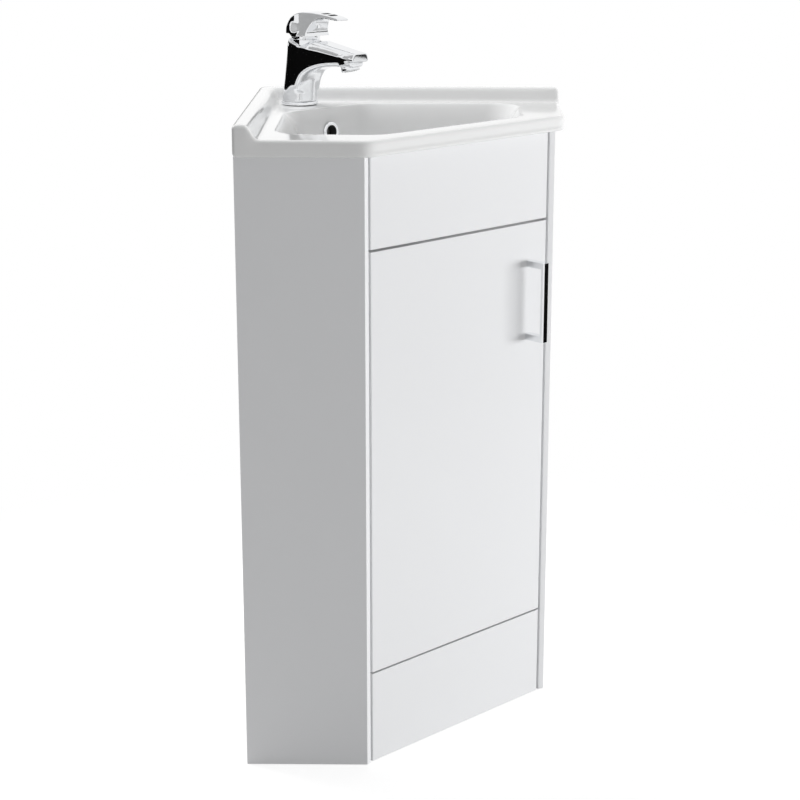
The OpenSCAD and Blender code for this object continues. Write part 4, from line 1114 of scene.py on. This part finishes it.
dark_inlay = Finish("dark_inlay", roughness=0.85, specular_ior_level=0.1)
dark_inlay.set(
    "Base Color",
    dark_inlay.blend(dark_inlay.noise(300, 2), (0.010, 0.010, 0.011), (0.022, 0.022, 0.023)),
)
pad = [(-5.8, -3.3), (5.8, -3.3), (5.8, 3.3), (-5.8, 3.3)]
pad_turn = Matrix.Rotation(math.radians(5), 4, "X")
for name, (v, h) in zip(("lever_mark_near", "lever_mark_far"), MARKS):
    inlay = upright(name, pad, -1.2, 0.1, dark_inlay)
    middle = at_tap((0, LEAN + v, COLLAR + h))
    inlay.transform(Matrix.Translation(middle / 1000) @ pad_turn)
    mark = link(name, inlay)
    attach(mark, frame["nodes"]["lever"]["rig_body"])

# ---- Plug of the lever ---------------------------------------------------------
# A small bright cap over the zinc-plated screw that holds the lever on its stem.

eased("lever_plug", chrome)
eased("lever_screw", zinc)

# ---- Cartridge and fixings -------------------------------------------------------
# Inside the mixer: the cartridge, the carrier and the brass stem. Below the
# deck: the washers, the stud and the brass nut that clamp the mixer.

cartridge_plastic = Finish("cartridge_plastic", roughness=0.5)
cartridge_tone = cartridge_plastic.noise(60, 2)
cartridge_plastic.set(
    "Base Color",
    cartridge_plastic.blend(cartridge_tone, (0.50, 0.52, 0.55), (0.60, 0.62, 0.65)),
)
brass = Finish("brass", metallic=1.0, roughness=0.3)
brass.set("Base Color", brass.blend(brass.noise(80, 3), (0.52, 0.38, 0.15), (0.68, 0.53, 0.25)))
brass.set("Roughness", 0.25 + 0.15 * brass.noise(200, 3))
for node, finish in (
    ("cartridge", cartridge_plastic), ("stem_carrier", cartridge_plastic),
    ("lever_stem", brass), ("tap_fixing_nut", brass),
    ("rubber_horseshoe", rubber), ("tap_base_seal", rubber), ("waste_top_seal", rubber),
    ("waste_under_seal", rubber), ("trap_washer", rubber),
    ("waste_body", chrome), ("plug", chrome), ("trap_body", white_plastic),
):
    eased(node, finish)

# ---- Nuts of the waste and the trap ------------------------------------------------
# Turned from white plastic, with ribs round them for the hand.


def rib(deep, wide, long):
    """A rib that stands out along +X, with its outer edges rounded off."""
    soft = wide * 0.3
    outline = [(-1, -wide / 2), (deep - soft, -wide / 2)]
    outline += arc_points(deep - soft, -wide / 2 + soft, soft, -90, 0, 3)[1:]
    outline += arc_points(deep - soft, wide / 2 - soft, soft, 0, 90, 3) + [(-1, wide / 2)]
    return upright("rib", outline, 0, long, white_plastic)


ring_of_ribs, given, result = node_tree(
    "ring_of_ribs",
    {
        "Geometry": "Geometry", "Rib": "Object", "Count": "Int", "Radius": "Float",
        "Low": "Float", "Finish": "Material",
    },
)
rib_seen = wired(ring_of_ribs, "GeometryNodeObjectInfo", {"Object": given["Rib"]})
ring = wired(
    ring_of_ribs, "GeometryNodeMeshCircle", {"Vertices": given["Count"], "Radius": given["Radius"]}
)
spot = wired(ring_of_ribs, "GeometryNodeInputPosition", {})
outwards = wired(
    ring_of_ribs, "FunctionNodeAlignRotationToVector", {"Vector": spot["Position"]},
    axis="X", pivot_axis="Z",
)
ribs_set = wired(
    ring_of_ribs, "GeometryNodeInstanceOnPoints",
    {"Points": ring["Mesh"], "Instance": rib_seen["Geometry"], "Rotation": outwards["Rotation"]},
)
lift = wired(ring_of_ribs, "ShaderNodeCombineXYZ", {"Z": given["Low"]})
ribs_up = wired(
    ring_of_ribs, "GeometryNodeTranslateInstances",
    {"Instances": ribs_set["Instances"], "Translation": lift["Vector"]},
)
together = wired(ring_of_ribs, "GeometryNodeJoinGeometry", {"Geometry": given["Geometry"]})
joining = ring_of_ribs.nodes[-1]
ring_of_ribs.links.new(ribs_up["Instances"], joining.inputs["Geometry"])
ribs_real = wired(ring_of_ribs, "GeometryNodeRealizeInstances", {"Geometry": together["Geometry"]})
ribs_done = wired(
    ring_of_ribs, "GeometryNodeSetMaterial",
    {"Geometry": ribs_real["Geometry"], "Material": given["Finish"]},
)
ring_of_ribs.links.new(ribs_done["Geometry"], result["Geometry"])

WASTE_Y = CORNER_Y - WASTE
SIDEWAYS = 36 / ROOT_2  # the trap's outlet goes off at 45 degrees
no_turn = Matrix.Identity(3)
# node, place, turn and profile, then the ribs: number, radius of their feet,
# how far they stand out, width, length and height of their lower ends
for node, at, turn, profile, (number, radius, deep, wide, long, low) in (
    (
        "trap_nut", (0, WASTE_Y, 602), no_turn,
        [
            (16.4, 0), (27.4, 0), (27.9, 0.5), (27.9, 23.5), (27.4, 24), (21, 24), (21, 3.5),
            (16.4, 3.5),
        ],
        (12, 27.9, 1.2, 3.2, 22.4, 0.8),
    ),
    (
        "waste_back_nut", (0, WASTE_Y, 634), no_turn,
        [
            (21, 0), (31.6, 0), (32, 0.4), (32, 2.6), (31.6, 3), (26.4, 3), (26.4, 9.4),
            (25.9, 9.9), (21, 9.9),
        ],
        (6, 26.4, 4.5, 4, 7.4, 1.0),
    ),
    (
        "trap_cup", (0, WASTE_Y, 483), no_turn,
        [(0, 0), (31.5, 0)] + arc_points(31.5, 2, 2, -90, 0, 5)[1:]
        + [(33.5, 25.5), (33, 26), (30.1, 26), (30.1, 7.95), (27.4, 7.95), (27.4, 4), (0, 4)],
        (18, 33.5, 1.2, 3, 20, 3),
    ),
    (
        "trap_outlet_nut", (SIDEWAYS, WASTE_Y + SIDEWAYS, 563), off_panel,
        [
            (20.6, 0), (24, 0), (24.5, 0.5), (24.5, 27.5), (24, 28), (16.3, 28), (16.3, 25),
            (20.6, 25),
        ],
        (12, 24.5, 1.4, 3, 26.4, 0.8),
    ),
):
    pattern = link("rib", rib(deep, wide, long))
    nut = grown(
        node + "_moulded", turned(node, profile, white_plastic, 72), ring_of_ribs,
        {
            "Rib": pattern, "Count": number, "Radius": radius / 1000, "Low": low / 1000,
            "Finish": white_plastic.material,
        },
    )
    bpy.data.objects.remove(pattern)
    nut.data.transform(Matrix.Translation(Vector(at) / 1000) @ turn.to_4x4())
    stand_for(node, nut)
